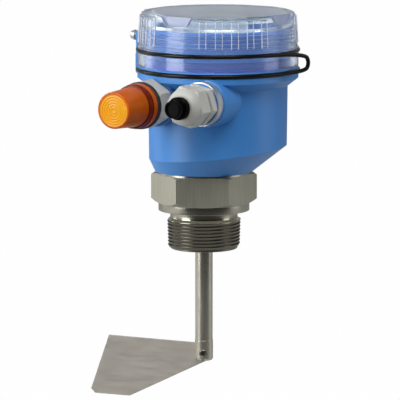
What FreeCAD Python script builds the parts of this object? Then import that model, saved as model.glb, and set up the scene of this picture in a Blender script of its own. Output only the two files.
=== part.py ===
"""Rotary paddle level switch: parametric model in millimetres.

The origin lies on the paddle shaft's axis, in the plane of the collar's sealing face. +Z points up the
shaft into the housing, +X towards the side to which the housing is offset, and -Y towards the cable entries.
"""

import FreeCAD, Part
import Sketcher
import math
import os

SIZES = {
    # Process connection
    "hex_flats": 60.0,
    "hex_height": 19.5,
    "hex_turn": 58.0,
    "hex_lower_chamfer": 2.6,
    "hex_upper_chamfer": 1.2,
    "collar_diameter": 59.6,
    "collar_height": 5.0,
    "undercut_diameter": 44.2,
    "undercut_height": 4.7,
    "undercut_flare": 1.7,
    "pipe_diameter": 47.9,
    "pipe_thread_height": 18.9,
    "pipe_taper": 0.03125,
    "pipe_lead": 2.0,
    "seat_ring_diameter": 61.6,
    "seat_ring_height": 1.3,
    "spigot_diameter": 38.0,
    "spigot_height": 18.2,
    "neck_nut_flats": 46.0,
    "neck_nut_height": 6.0,
    "neck_seal_section": 3.0,
    # Shaft, its bearings and its seal
    "shaft_diameter": 11.5,
    "journal_diameter": 10.0,
    "shaft_bottom": 100.0,
    "shaft_passage": 14.0,
    "bearing_diameter": 26.0,
    "bearing_width": 8.0,
    "bearing_inner_land": 14.0,
    "bearing_outer_land": 22.0,
    "bearing_shield_depth": 0.6,
    "bearing_spacing": 42.0,
    "seal_diameter": 22.0,
    "seal_height": 6.0,
    "seal_recess": 1.2,
    "circlip_diameter": 14.6,
    "circlip_thickness": 1.2,
    "circlip_gap": 4.5,
    "running_gap": 0.05,
    "seat_gap": 0.1,
    # Paddle and its pin
    "fork_diameter": 11.9,
    "fork_height": 13.4,
    "fork_edge": 1.4,
    "fork_spigot_diameter": 6.0,
    "fork_spigot_height": 8.0,
    "fork_notch": 1.5,
    "paddle_thickness": 1.8,
    "paddle_turn": 7.0,
    "slot_gap": 0.15,
    "pin_height": 5.4,
    "pin_diameter": 3.0,
    "pin_head_diameter": 4.8,
    "pin_head_sink": 1.0,
    "pin_head_crown": 0.5,
    "pin_recess": 1.4,
    "paddle_heel": 6.0,
    "paddle_tilt": 3.8,
    "paddle_reach": 63.2,
    "paddle_toe_reach": 75.1,
    "paddle_toe_corner": 72.4,
    "paddle_toe_drop": 25.9,
    "paddle_corner_drop": 29.0,
    "paddle_sole_reach": 49.2,
    # Housing
    "housing_offset": 9.1,
    "base_diameter": 64.0,
    "slope_height": 12.8,
    "slope_tilt": 5.8,
    "body_diameter": 90.0,
    "body_draft": 0.5,
    "body_height": 56.2,
    "flare_height": 5.5,
    "rim_diameter": 105.0,
    "rim_height": 7.5,
    "neck_diameter": 93.0,
    "neck_height": 24.7,
    "neck_chamfer": 1.0,
    "body_wall": 4.0,
    "neck_wall": 3.5,
    "floor_height": 20.2,
    "sump_diameter": 54.0,
    "sump_floor": 5.2,
    "post_diameter": 9.0,
    "post_height": 12.0,
    "post_inset": 5.0,
    # Cover and its retaining cord
    "cover_gap": 0.2,
    "cover_flange_height": 12.8,
    "cover_step_height": 2.0,
    "cover_side_diameter": 103.0,
    "cover_top_diameter": 100.8,
    "cover_height": 35.3,
    "cover_edge": 2.4,
    "cover_wall": 3.4,
    "cover_roof": 3.2,
    "cover_haunch_height": 9.6,
    "cover_haunch": 4.6,
    "thread_gap": 1.6,
    "notch_count": 4,
    "notch_first": 57.0,
    "notch_height": 6.2,
    "notch_depth": 4.0,
    "notch_top_width": 24.0,
    "notch_floor_width": 16.0,
    "rib_count": 5,
    "rib_pitch": 11.6,
    "rib_width": 4.4,
    "rib_height": 18.2,
    "rib_depth": 0.7,
    "cord_diameter": 2.7,
    "cord_radius": 52.2,
    "cord_gap": 0.15,
    "upper_cord_height": 10.5,
    "lower_cord_drop": 2.3,
    "cord_leave": 34.0,
    "cord_open": 18.0,
    "cord_run": 28.5,
    # Cover lock
    "lug_turn": 157.0,
    "lug_width": 8.0,
    "lug_inner_radius": 53.8,
    "lug_thickness": 2.8,
    "lug_foot": 0.4,
    "lug_foot_height": 5.6,
    "lug_foot_drop": 7.0,
    "lug_height": 21.1,
    "lock_height": 17.6,
    "lock_thread_diameter": 4.0,
    "lock_head_diameter": 6.0,
    "lock_head_height": 2.8,
    "lock_travel": 1.9,
    "lock_washer_diameter": 6.8,
    "lock_washer_thickness": 0.8,
    # Cable entries
    "entry_turn": 30.8,
    "entry_face": 48.8,
    "entry_spacing": 37.6,
    "entry_height": 48.2,
    "gland_rise": 1.8,
    "boss_diameter": 31.0,
    "boss_root_diameter": 32.0,
    "boss_cone": 19.0,
    "boss_land": 3.0,
    "spot_face_height": 8.0,
    "spot_face_gap": 0.35,
    "entry_bore": 20.0,
    "entry_ring_diameter": 28.4,
    "entry_ring_bore": 26.5,
    "entry_ring_height": 5.2,
    # Cable gland and its plug
    "gland_flats": 24.0,
    "gland_hex_turn": 47.0,
    "gland_collar_diameter": 21.0,
    "gland_collar_height": 0.2,
    "gland_hex_height": 5.8,
    "gland_tail": 7.0,
    "gland_bore": 13.0,
    "gland_neck_diameter": 18.0,
    "gland_neck_height": 9.5,
    "nut_gap": 2.6,
    "nut_height": 16.1,
    "nut_hex_height": 10.5,
    "nut_nose_diameter": 17.2,
    "nut_bore": 13.6,
    "nut_roof": 3.0,
    "insert_height": 7.5,
    "plug_stem_diameter": 12.4,
    "plug_stem_height": 14.0,
    "plug_flange_diameter": 14.7,
    "plug_flange_height": 4.3,
    "plug_tip_diameter": 11.4,
    "plug_tip_height": 5.6,
    "plug_hollow_diameter": 8.8,
    # Signal lamp
    "lamp_flats": 27.2,
    "lamp_hex_turn": 30.0,
    "lamp_collar_height": 1.0,
    "lamp_hex_height": 14.4,
    "lamp_bore": 12.0,
    "lamp_gasket_diameter": 30.4,
    "lamp_gasket_height": 3.4,
    "lamp_gasket_bore": 23.4,
    "lens_base_diameter": 29.2,
    "lens_base_height": 4.5,
    "lens_step_diameter": 28.0,
    "lens_step_height": 3.7,
    "lens_foot_diameter": 25.8,
    "lens_face_diameter": 23.5,
    "lens_height": 30.5,
    "lens_edge": 1.4,
    "lens_wall": 1.6,
    "lens_gap": 0.2,
    "lamp_board_thickness": 1.6,
    "lamp_post_diameter": 21.0,
    "lamp_post_height": 13.5,
    "lamp_led_diameter": 5.0,
    "lamp_led_height": 8.6,
    "lamp_led_circle": 11.0,
    "lamp_led_count": 3,
    # Drive
    "chassis_gap": 2.0,
    "chassis_thickness": 3.0,
    "hub_diameter": 24.0,
    "hub_height": 5.0,
    "hub_bore": 17.0,
    "carrier_diameter": 52.0,
    "carrier_thickness": 2.0,
    "arm_gap": 2.0,
    "arm_width": 6.0,
    "gearbox_diameter": 50.0,
    "gearbox_height": 10.0,
    "motor_diameter": 46.0,
    "motor_height": 17.0,
    "motor_rib": 1.6,
    "output_diameter": 6.0,
    "output_bore": 6.1,
    "coupling_diameter": 15.0,
    "coupling_height": 14.0,
    "switch_length": 19.8,
    "switch_wall_gap": 3.2,
    "switch_width": 6.4,
    "switch_height": 10.6,
    "switch_clearance": 0.6,
    "swing_play": 5.6,
    "spring_diameter": 5.0,
    "spring_length": 17.0,
    "spring_coils": 7,
    "spring_rise": 8.5,
    # Electronics
    "board_gap": 4.0,
    "board_thickness": 1.6,
    "board_flat": 30.0,
    "board_hole_inset": 3.0,
    "terminal_room": 1.9,
    "standoff_flats": 5.5,
    "standoff_stud": 12.0,
    "screw_diameter": 2.8,
    "screw_hole": 3.0,
    "screw_head_diameter": 5.6,
    "screw_head_height": 2.2,
    "terminal_length": 46.0,
    "terminal_depth": 17.0,
    "terminal_height": 16.6,
    "terminal_step": 6.0,
    "terminal_pitch": 7.4,
    "terminal_count": 6,
    "terminal_screw_diameter": 4.2,
    "signal_length": 26.0,
    "signal_depth": 11.0,
    "signal_height": 15.4,
    "signal_count": 5,
    "relay_length": 20.0,
    "relay_width": 12.5,
    "relay_height": 15.0,
    "led_diameter": 5.0,
    "led_height": 8.0,
}

doc = FreeCAD.newDocument("paddle_level_switch")
sheet = doc.addObject("Spreadsheet::Sheet", "Sizes")
for row, (alias, number) in enumerate(SIZES.items(), start=1):
    sheet.set(f"A{row}", alias)
    sheet.set(f"B{row}", str(number))
    sheet.setAlias(f"B{row}", alias)
doc.recompute()


class Dim:
    """A length or an angle: its number, and the sheet expression that gives that number."""

    def __init__(self, number, text):
        self.number = float(number)
        self.text = text

    def __add__(self, other):
        other = as_dim(other)
        return Dim(self.number + other.number, f"({self.text} + {other.text})")

    def __sub__(self, other):
        other = as_dim(other)
        return Dim(self.number - other.number, f"({self.text} - {other.text})")

    def __mul__(self, other):
        other = as_dim(other)
        return Dim(self.number * other.number, f"({self.text} * {other.text})")

    def __truediv__(self, other):
        other = as_dim(other)
        return Dim(self.number / other.number, f"({self.text} / {other.text})")

    def __radd__(self, other):
        return as_dim(other) + self

    def __rsub__(self, other):
        return as_dim(other) - self

    def __rmul__(self, other):
        return as_dim(other) * self

    def __rtruediv__(self, other):
        return as_dim(other) / self

    def __neg__(self):
        return Dim(-self.number, f"(-1 * {self.text})")

    def sine(self):
        return Dim(math.sin(math.radians(self.number)), f"sin({self.text})")

    def cosine(self):
        return Dim(math.cos(math.radians(self.number)), f"cos({self.text})")

    def tangent(self):
        return Dim(math.tan(math.radians(self.number)), f"tan({self.text})")

    def least(self, other):
        return Dim(min(self.number, other.number), f"min({self.text}; {other.text})")


def as_dim(value):
    return value if isinstance(value, Dim) else Dim(value, f"{float(value):.6f}")


class Sheet:
    """The sheet's cells, each read by its alias as a Dim."""

    def __getattr__(self, alias):
        return Dim(SIZES[alias], f"Sizes.{alias}")


size = Sheet()
HEX_CORNER = 2.0 / math.sqrt(3.0)
NODES = []


def bind(item, prop, value):
    """Set a property through its sheet expression."""
    item.setExpression(prop, as_dim(value).text)


def place(item, at=(0, 0, 0), turn=0, axis=(0, 0, 1)):
    """Put an object at a point and turn it about one of its axes, both bound to the sheet."""
    item.Placement = FreeCAD.Placement(FreeCAD.Vector(0, 0, 0), FreeCAD.Rotation(FreeCAD.Vector(*axis), 10))
    for letter, value in zip("xyz", at):
        bind(item, f"Placement.Base.{letter}", value)
    bind(item, "Placement.Rotation.Angle", turn)


def keep(item):
    """Mark an object as a finished piece of the product."""
    NODES.append(item)
    return item


def new_body(label):
    return doc.addObject("PartDesign::Body", label)


def new_sketch(body, role):
    """A sketch on one of the body's own origin planes."""
    sketch = body.newObject("Sketcher::SketchObject", f"{body.Name}_sketch")
    plane = next(item for item in body.Origin.OriginFeatures if item.Role == role)
    sketch.AttachmentSupport = [(plane, "")]
    sketch.MapMode = "FlatFace"
    return sketch


def outline(sketch, points):
    """Draw a closed outline through points, each coordinate bound to its sheet expression."""
    points = [(as_dim(x), as_dim(y)) for x, y in points]
    first = sketch.GeometryCount
    count = len(points)
    for index, (x, y) in enumerate(points):
        after = points[(index + 1) % count]
        start = FreeCAD.Vector(x.number, y.number, 0)
        end = FreeCAD.Vector(after[0].number, after[1].number, 0)
        sketch.addGeometry(Part.LineSegment(start, end), False)
    for index in range(count):
        link = (first + index, 2, first + (index + 1) % count, 1)
        sketch.addConstraint(Sketcher.Constraint("Coincident", *link))
    for index, point in enumerate(points):
        for kind, value in zip(("DistanceX", "DistanceY"), point):
            datum = Sketcher.Constraint(kind, -1, 1, first + index, 1, value.number)
            number = sketch.addConstraint(datum)
            sketch.setExpression(f"Constraints[{number}]", value.text)


def circle(sketch, radius, x=0, y=0):
    """Draw a circle whose centre and radius are bound to the sheet."""
    radius, x, y = as_dim(radius), as_dim(x), as_dim(y)
    centre = FreeCAD.Vector(x.number, y.number, 0)
    index = sketch.addGeometry(Part.Circle(centre, FreeCAD.Vector(0, 0, 1), radius.number), False)
    for constraint, value in (
        (Sketcher.Constraint("DistanceX", -1, 1, index, 3, x.number), x),
        (Sketcher.Constraint("DistanceY", -1, 1, index, 3, y.number), y),
        (Sketcher.Constraint("Radius", index, radius.number), radius),
    ):
        number = sketch.addConstraint(constraint)
        sketch.setExpression(f"Constraints[{number}]", value.text)


def lathe(body, points, upright=True, cut=False):
    """Turn an outline of (radius, distance) points about the body's Z axis, or outwards along its -Y axis."""
    sketch = new_sketch(body, "XZ_Plane" if upright else "XY_Plane")
    outline(sketch, points if upright else [(radius, -as_dim(along)) for radius, along in points])
    feature = body.newObject("PartDesign::Groove" if cut else "PartDesign::Revolution", f"{body.Name}_turn")
    feature.Profile = sketch
    feature.ReferenceAxis = (sketch, ["V_Axis"])
    feature.Angle = 360
    sketch.Visibility = False
    return feature


def turned(label, points, upright=True):
    """A turned piece in a body of its own."""
    body = new_body(label)
    lathe(body, points, upright)
    return body


def ring(label, inner, outer, low, high, upright=True):
    """A plain turned ring."""
    return turned(label, [(inner, low), (outer, low), (outer, high), (inner, high)], upright)


def extrude(body, draw, height, role="XY_Plane", low=0, cut=False):
    """Pad or pocket what draw puts in a sketch, from low to low + height along the plane's normal."""
    sketch = new_sketch(body, role)
    sketch.AttachmentOffset = FreeCAD.Placement()
    bind(sketch, "AttachmentOffset.Base.z", low)
    draw(sketch)
    feature = body.newObject("PartDesign::Pocket" if cut else "PartDesign::Pad", f"{body.Name}_run")
    feature.Profile = sketch
    bind(feature, "Length", height)
    if cut:
        feature.Reversed = True
    sketch.Visibility = False
    return feature


def polygon(flats, turn=0, sides=6):
    """The corners of a regular polygon of the given width across its flats."""
    corner = as_dim(flats) / 2 / math.cos(math.pi / sides)
    angles = [as_dim(turn) + 360.0 / sides * index for index in range(sides)]
    return [(corner * angle.cosine(), corner * angle.sine()) for angle in angles]


def rectangle(x, y, width, height):
    """The corners of a rectangle centred on (x, y)."""
    x, y, width, height = (as_dim(value) for value in (x, y, width, height))
    return [
        (x - width / 2, y - height / 2),
        (x + width / 2, y - height / 2),
        (x + width / 2, y + height / 2),
        (x - width / 2, y + height / 2),
    ]


def octagon(radius, x, y):
    """The corners of an octagon with the given distance from its centre to each flat."""
    corner = as_dim(radius) / math.cos(math.pi / 8)
    angles = [math.pi / 8 + math.pi / 4 * index for index in range(8)]
    return [(x + corner * math.cos(angle), y + corner * math.sin(angle)) for angle in angles]


def block(label, x, y, low, width, depth, height):
    """A rectangular piece standing on the height low and centred on (x, y)."""
    body = new_body(label)
    extrude(body, lambda sketch: outline(sketch, rectangle(x, y, width, depth)), height, low=low)
    return body


def boolean(kind, label, *items):
    """Fuse, cut or intersect objects."""
    item = doc.addObject(f"Part::{kind}", label)
    if kind in ("MultiFuse", "MultiCommon"):
        item.Shapes = list(items)
    else:
        item.Base, item.Tool = items
    return item


def group(label, items):
    """Several separate solids of one kind, kept together as one node."""
    item = doc.addObject("Part::Compound", label)
    item.Links = items
    return keep(item)


# Heights of the main planes
hex_top = size.collar_height + size.hex_height
base_plane = hex_top + size.seat_ring_height
spigot_top = base_plane + size.spigot_height
pipe_end = -(size.undercut_height + size.undercut_flare + size.pipe_thread_height)
floor_plane = base_plane + size.floor_height
sump_plane = base_plane + size.sump_floor
flare_plane = base_plane + size.body_height
parting_plane = flare_plane + size.flare_height + size.rim_height
neck_top = parting_plane + size.neck_height
chassis_plane = floor_plane + size.post_height
chassis_top = chassis_plane + size.chassis_thickness
cavity_radius = size.body_diameter / 2 - size.body_wall
neck_radius = size.neck_diameter / 2
mouth_radius = neck_radius - size.neck_wall
board_radius = mouth_radius - size.board_gap
fork_top = size.fork_height - size.shaft_bottom
pin_plane = size.pin_height - size.shaft_bottom

# Reach of the snap switches and of the carrier's arm, from the shaft's axis
switch_place = size.housing_offset + cavity_radius - size.switch_wall_gap - size.switch_length / 2
arm_length = switch_place - size.arm_gap

# Heights of the shaft's seats
seal_low = pipe_end + size.seal_recess
seal_top = seal_low + size.seal_height
lower_bearing_low = seal_top + 1.5
upper_bearing_low = lower_bearing_low + size.bearing_width + size.bearing_spacing
upper_bearing_top = upper_bearing_low + size.bearing_width
shaft_top = spigot_top + size.circlip_gap + size.circlip_thickness


def process_connection():
    """Stainless body: hexagon, collar, undercut and taper pipe thread, bored for the shaft and its bearings."""
    body = new_body("process_connection")
    extrude(body, lambda sketch: outline(sketch, polygon(size.hex_flats, size.hex_turn)), size.hex_height,
            low=size.collar_height)
    corner = size.hex_flats / 2 * HEX_CORNER + 1
    flat = size.hex_flats / 2
    slope = 1 / math.tan(math.radians(60))
    low, high = size.collar_height, hex_top
    lower_land = corner - size.hex_lower_chamfer / slope - 1
    upper_land = corner - size.hex_upper_chamfer / slope - 1
    lathe(body, [(lower_land, low - 1), (corner, low - 1), (corner, low + (corner - lower_land) * slope),
                 (lower_land, low)], cut=True)
    lathe(body, [(upper_land, high + 1), (upper_land, high), (corner, high - (corner - upper_land) * slope),
                 (corner, high + 1)], cut=True)
    undercut = size.undercut_diameter / 2
    crest = size.pipe_diameter / 2
    thread_top = -(size.undercut_height + size.undercut_flare)
    end = crest - size.pipe_thread_height * size.pipe_taper
    passage = size.shaft_passage / 2
    spigot = size.spigot_diameter / 2
    seal = size.seal_diameter / 2
    race = size.bearing_diameter / 2
    lathe(body, [
        (passage, pipe_end),
        (end - size.pipe_lead, pipe_end),
        (end, pipe_end + size.pipe_lead),
        (crest, thread_top),
        (undercut, -size.undercut_height),
        (undercut, 0),
        (size.collar_diameter / 2, 0),
        (size.collar_diameter / 2, size.collar_height + 0.5),
        (flat - 2, size.collar_height + 0.5),
        (flat - 2, hex_top),
        (size.seat_ring_diameter / 2, hex_top),
        (size.seat_ring_diameter / 2, base_plane),
        (spigot, base_plane),
        (spigot, spigot_top),
        (passage, spigot_top),
    ])
    lathe(body, [(0, pipe_end - 1), (seal, pipe_end - 1), (seal, seal_top), (passage, seal_top),
                 (passage, lower_bearing_low), (0, lower_bearing_low)], cut=True)
    lathe(body, [(0, lower_bearing_low - 0.5), (passage, lower_bearing_low - 0.5), (passage, lower_bearing_low),
                 (race, lower_bearing_low), (race, lower_bearing_low + size.bearing_width),
                 (passage, lower_bearing_low + size.bearing_width), (passage, upper_bearing_low),
                 (race, upper_bearing_low), (race, spigot_top + 1), (0, spigot_top + 1)], cut=True)
    return keep(body)


def bearing(label, low):
    """Sealed ball bearing: one ring with its shields sunk between the two races."""
    inner = size.journal_diameter / 2 + size.running_gap
    outer = size.bearing_diameter / 2
    inner_land = size.bearing_inner_land / 2
    outer_land = size.bearing_outer_land / 2
    sunk = size.bearing_shield_depth
    high = low + size.bearing_width
    return keep(turned(label, [
        (inner, low), (inner_land, low), (inner_land, low + sunk), (outer_land, low + sunk), (outer_land, low),
        (outer, low), (outer, high), (outer_land, high), (outer_land, high - sunk), (inner_land, high - sunk),
        (inner_land, high), (inner, high),
    ]))


def shaft_seal():
    """Lip seal in the mouth of the thread, open to the shaft by its running gap."""
    inner = size.shaft_diameter / 2 + size.running_gap
    outer = size.seal_diameter / 2
    lip = inner + 1.6
    return keep(turned("shaft_seal", [
        (inner, seal_low), (lip, seal_low), (lip + 0.8, seal_low + 1.4), (outer - 1.4, seal_low + 1.4),
        (outer - 1.4, seal_low), (outer, seal_low), (outer, seal_top), (lip, seal_top),
        (lip, seal_top - 2), (inner, seal_top - 2.6),
    ]))


def output_shaft():
    """Stepped stainless shaft, from its fork thread up to its coupling end."""
    body = new_body("output_shaft")
    shaft = size.shaft_diameter / 2
    journal = size.journal_diameter / 2
    thread = size.fork_spigot_diameter / 2 + size.seat_gap
    bored = fork_top + size.fork_spigot_height + 1
    groove_low = spigot_top + size.circlip_gap - size.seat_gap
    groove_high = groove_low + size.circlip_thickness + size.seat_gap * 2
    groove = journal - 0.6
    top = shaft_top + size.coupling_height / 2
    lathe(body, [
        (thread, fork_top), (shaft, fork_top), (shaft, lower_bearing_low - size.seat_gap * 3),
        (journal, lower_bearing_low - size.seat_gap * 3), (journal, groove_low), (groove, groove_low),
        (groove, groove_high), (journal, groove_high), (journal, top - 0.6), (journal - 0.6, top), (0, top),
        (0, bored), (thread, bored),
    ])
    return keep(body)


def shaft_circlip():
    """Spring ring that holds the shaft up on the top bearing."""
    body = new_body("shaft_circlip")
    low = spigot_top + size.circlip_gap
    inner = size.journal_diameter / 2 - 0.5
    extrude(body, lambda sketch: (circle(sketch, size.circlip_diameter / 2), circle(sketch, inner)),
            size.circlip_thickness, low=low)
    gap = rectangle(size.circlip_diameter / 2, 0, size.circlip_diameter / 2, 3)
    extrude(body, lambda sketch: outline(sketch, gap), size.circlip_thickness + 2, low=low - 1, cut=True)
    return keep(body)


def circlip_spacer():
    """Thrust ring between the upper bearing and the circlip."""
    return keep(ring("thrust_ring", size.journal_diameter / 2 + size.running_gap, size.bearing_outer_land / 2 - 3,
                     upper_bearing_top, spigot_top + size.circlip_gap))


def paddle_fork():
    """Forked shaft end: two cheeks with a slot for the blade, a hole for its pin and a notch under the pin."""
    body = new_body("paddle_fork")
    radius = size.fork_diameter / 2
    bottom = -size.shaft_bottom
    spigot = size.fork_spigot_diameter / 2
    edge = size.fork_edge
    lathe(body, [
        (0, bottom), (radius - edge, bottom), (radius - edge * 0.3, bottom + edge * 0.3), (radius, bottom + edge),
        (radius, fork_top), (spigot, fork_top), (spigot, fork_top + size.fork_spigot_height),
        (0, fork_top + size.fork_spigot_height),
    ])
    slot = size.paddle_thickness + size.slot_gap * 2
    slot_top = pin_plane + size.paddle_heel + size.slot_gap * 2
    slot_outline = [(-radius - 1, bottom - 1), (radius + 1, bottom - 1), (radius + 1, slot_top),
                    (-radius - 1, slot_top)]
    extrude(body, lambda sketch: outline(sketch, slot_outline), slot, role="XZ_Plane", low=-slot / 2, cut=True)
    hole = size.pin_diameter / 2 + size.running_gap
    extrude(body, lambda sketch: circle(sketch, hole, 0, pin_plane), size.fork_diameter + 2, role="XZ_Plane",
            low=-size.fork_diameter / 2 - 1, cut=True)
    seat = size.pin_head_diameter / 2 + size.running_gap
    extrude(body, lambda sketch: circle(sketch, seat, 0, pin_plane), size.fork_diameter, role="XZ_Plane",
            low=radius - size.pin_head_sink, cut=True)
    notch = rectangle(0, bottom, size.fork_notch, size.fork_notch * 1.6)
    extrude(body, lambda sketch: outline(sketch, notch), size.fork_diameter + 2, role="XZ_Plane", low=-radius - 1,
            cut=True)
    place(body, turn=-size.paddle_turn)
    return keep(body)


def paddle_pin():
    """Screw pin through both cheeks, with its domed head sunk in the front one."""
    radius = size.pin_diameter / 2
    head = size.pin_head_diameter / 2
    front = size.fork_diameter / 2
    seat = front - size.pin_head_sink
    body = turned("paddle_pin", [
        (0, -front + 0.4), (radius - 0.4, -front + 0.4), (radius, -front + 0.8), (radius, seat), (head, seat),
        (head, front - 0.2), (head * 0.72, front + size.pin_head_crown * 0.7), (0, front + size.pin_head_crown),
    ], upright=False)
    for turn in (0, 90):
        bar = rectangle(0, 0, 2.8 if turn else 0.8, 0.8 if turn else 2.8)
        extrude(body, lambda sketch, bar=bar: outline(sketch, bar), size.pin_recess + 1, role="XZ_Plane",
                low=front - size.pin_recess + size.pin_head_crown, cut=True)
    place(body, at=(0, 0, pin_plane), turn=-size.paddle_turn)
    return keep(body)


def paddle_blade():
    """Folding sheet-metal blade: a parallel strip with a slanted sole, a cut toe and a round heel at the pin."""
    body = new_body("paddle_blade")
    heel = size.paddle_heel
    rise = size.paddle_tilt.tangent()
    shoulder = size.fork_diameter / 2 + 0.3
    corners = [
        (-shoulder, heel + 0.1),
        (-size.paddle_reach, heel + 0.1 + (size.paddle_reach - shoulder) * rise),
        (-size.paddle_toe_reach, -size.paddle_toe_drop),
        (-size.paddle_toe_corner, -size.paddle_corner_drop),
        (-size.paddle_sole_reach, -size.paddle_corner_drop - 1.4),
        (heel * 0.42, -heel * 0.9075),
    ]
    arc_steps = [(0.7071, -0.7071), (0.9239, -0.3827), (1, 0), (0.9239, 0.3827), (0.7071, 0.7071), (0, 1)]
    corners += [(heel * across, heel * up) for across, up in arc_steps]
    extrude(body, lambda sketch: outline(sketch, corners), size.paddle_thickness, role="XZ_Plane",
            low=-size.paddle_thickness / 2)
    hole = size.pin_diameter / 2 + size.running_gap
    extrude(body, lambda sketch: circle(sketch, hole), size.paddle_thickness + 2, role="XZ_Plane",
            low=-size.paddle_thickness / 2 - 1, cut=True)
    place(body, at=(0, 0, pin_plane), turn=-size.paddle_turn)
    return keep(body)


def housing_shell():
    """Blue plastic housing: sloped base, body, flared rim, threaded neck, entry bosses, lug and inner posts."""
    offset = size.housing_offset
    base = doc.addObject("Part::Circle", "base_circle")
    bind(base, "Radius", size.base_diameter / 2)
    place(base, at=(0, 0, base_plane))
    girth = doc.addObject("Part::Ellipse", "slope_edge")
    body_low = size.body_diameter / 2
    bind(girth, "MajorRadius", body_low / size.slope_tilt.cosine())
    bind(girth, "MinorRadius", body_low)
    place(girth, at=(offset, 0, base_plane + size.slope_height), turn=-size.slope_tilt, axis=(0, 1, 0))
    slope = doc.addObject("Part::Loft", "slope")
    slope.Sections = [base, girth]
    slope.Solid = True
    slope.Ruled = True

    body_high = body_low + size.body_draft
    rim = size.rim_diameter / 2
    flare_top = flare_plane + size.flare_height
    upper = turned("upper_form", [
        (0, base_plane), (body_low, base_plane), (body_low, base_plane + size.slope_height),
        (body_high, flare_plane), (rim, flare_top), (rim, parting_plane - 0.6), (rim - 0.6, parting_plane),
        (neck_radius, parting_plane), (neck_radius, neck_top - size.neck_chamfer),
        (neck_radius - size.neck_chamfer, neck_top), (0, neck_top),
    ])
    place(upper, at=(offset, 0, 0))
    below = new_body("below_slope")
    extrude(below, lambda sketch: outline(sketch, rectangle(0, 0, rim * 4, rim * 4)), size.body_height,
            low=-size.body_height)
    place(below, at=(offset, 0, base_plane + size.slope_height), turn=-size.slope_tilt, axis=(0, 1, 0))
    above = boolean("Cut", "above_slope", upper, below)

    solids = [slope, above] + [entry_boss(side) for side in (1, -1)] + [lock_lug()]
    outside = boolean("MultiFuse", "housing_outside", *solids)

    cavity = turned("cavity", [
        (0, floor_plane), (cavity_radius, floor_plane), (cavity_radius, flare_plane),
        (mouth_radius, flare_plane + size.flare_height), (mouth_radius, neck_top + 1), (0, neck_top + 1),
    ])
    place(cavity, at=(offset, 0, 0))
    sump = turned("sump", [
        (0, sump_plane), (size.sump_diameter / 2, sump_plane), (size.sump_diameter / 2, floor_plane + 1),
        (0, floor_plane + 1),
    ])
    hole = size.spigot_diameter / 2 + size.seat_gap
    seal = hole + size.neck_seal_section
    passage = turned("spigot_hole", [
        (0, base_plane - 1), (seal, base_plane - 1), (seal, base_plane + size.neck_seal_section * 0.8),
        (hole, base_plane + size.neck_seal_section * 0.8), (hole, sump_plane + 1), (0, sump_plane + 1),
    ])
    hollows = boolean("MultiFuse", "hollows", cavity, sump, passage)
    posts = [
        turned(f"post_{index}", [(0, floor_plane - 1), (size.post_diameter / 2, floor_plane - 1),
                                 (size.post_diameter / 2, chassis_plane), (0, chassis_plane)])
        for index in range(4)
    ]
    for post, (x, y) in zip(posts, post_places()):
        place(post, at=(x, y, 0))
    shelled = boolean("Cut", "shelled", outside, hollows)
    ribbed = boolean("MultiFuse", "shell_with_posts", shelled, *posts)

    groove = cord_ring("lower_cord_groove", parting_plane - size.lower_cord_drop,
                       size.cord_diameter / 2 + size.cord_gap)
    place(groove, at=(offset, 0, 0))
    bores = [entry_turned(f"entry_bore_{side}", side, entry_bore_outline(side)) for side in (1, -1)]
    pilots = []
    for index, (x, y) in enumerate(post_places()):
        pilot = turned(f"post_pilot_{index}", [
            (0, floor_plane), (size.screw_hole / 2, floor_plane), (size.screw_hole / 2, chassis_plane + 1),
            (0, chassis_plane + 1)])
        place(pilot, at=(x, y, 0))
        pilots.append(pilot)
    lock_radius = size.lock_thread_diameter / 2 + size.running_gap
    lock_hole = turned("lock_hole", [
        (0, -size.lug_thickness - 1), (lock_radius, -size.lug_thickness - 1), (lock_radius, 1), (0, 1)], upright=False)
    place_on_lug(lock_hole)
    cuts = boolean("MultiFuse", "housing_cuts", groove, *bores, *pilots, lock_hole)
    return keep(boolean("Cut", "housing_shell", ribbed, cuts))


def post_places():
    """The four screw posts' places round the housing's axis: inside the wall and within the board's edge."""
    reach = (cavity_radius - size.post_inset).least(board_radius - size.board_hole_inset)
    half = reach * math.sqrt(0.5)
    return [(size.housing_offset + half * x, half * y) for x in (-1, 1) for y in (-1, 1)]


def entry_turned(label, side, points):
    """A piece turned about a cable entry's axis; distances run outwards from the boss's face."""
    body = turned(label, points, upright=False)
    place_at_entry(body, side)
    return body


def place_at_entry(item, side, out=0):
    """Put an item modelled along -Y on a cable entry's axis, out millimetres from the boss's face."""
    sine, cosine = size.entry_turn.sine(), size.entry_turn.cosine()
    reach = size.entry_face + out
    across = size.entry_spacing / 2 * side
    x = size.housing_offset - reach * sine + across * cosine
    y = -(reach * cosine) - across * sine
    rise = size.gland_rise if side > 0 else 0
    place(item, at=(x, y, base_plane + size.entry_height + rise), turn=-size.entry_turn)


def core_radius():
    """Radius of the front boss's core, which fills the metal ring."""
    return size.entry_ring_bore / 2 - size.running_gap


def entry_boss(side):
    """Boss of one cable entry: a cone at the body and a short land; the front one has a core in front of it."""
    root, face = size.boss_root_diameter / 2, size.boss_diameter / 2
    start = -(size.boss_cone + size.boss_land)
    points = [(0, start), (root, start), (face, -size.boss_land), (face, -0.6), (face - 0.6, 0)]
    if side > 0:
        points += [(core_radius(), 0), (core_radius(), size.entry_ring_height), (0, size.entry_ring_height)]
    else:
        points.append((0, 0))
    return entry_turned(f"entry_boss_{side}", side, points)


def entry_bore_outline(side):
    """Outline of the bore through a boss and the wall behind it, with the spot face cut into the rim."""
    radius = size.entry_bore / 2 + size.seat_gap
    spot = size.entry_ring_diameter / 2 + size.spot_face_gap
    depth = size.boss_cone + size.boss_land + 4
    points = [(0, -depth), (radius, -depth)]
    if side > 0:
        points += [(radius, size.entry_ring_height), (core_radius(), size.entry_ring_height), (core_radius(), 0)]
    else:
        points.append((radius, 0))
    return points + [(spot, 0), (spot, size.spot_face_height), (0, size.spot_face_height)]


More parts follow.
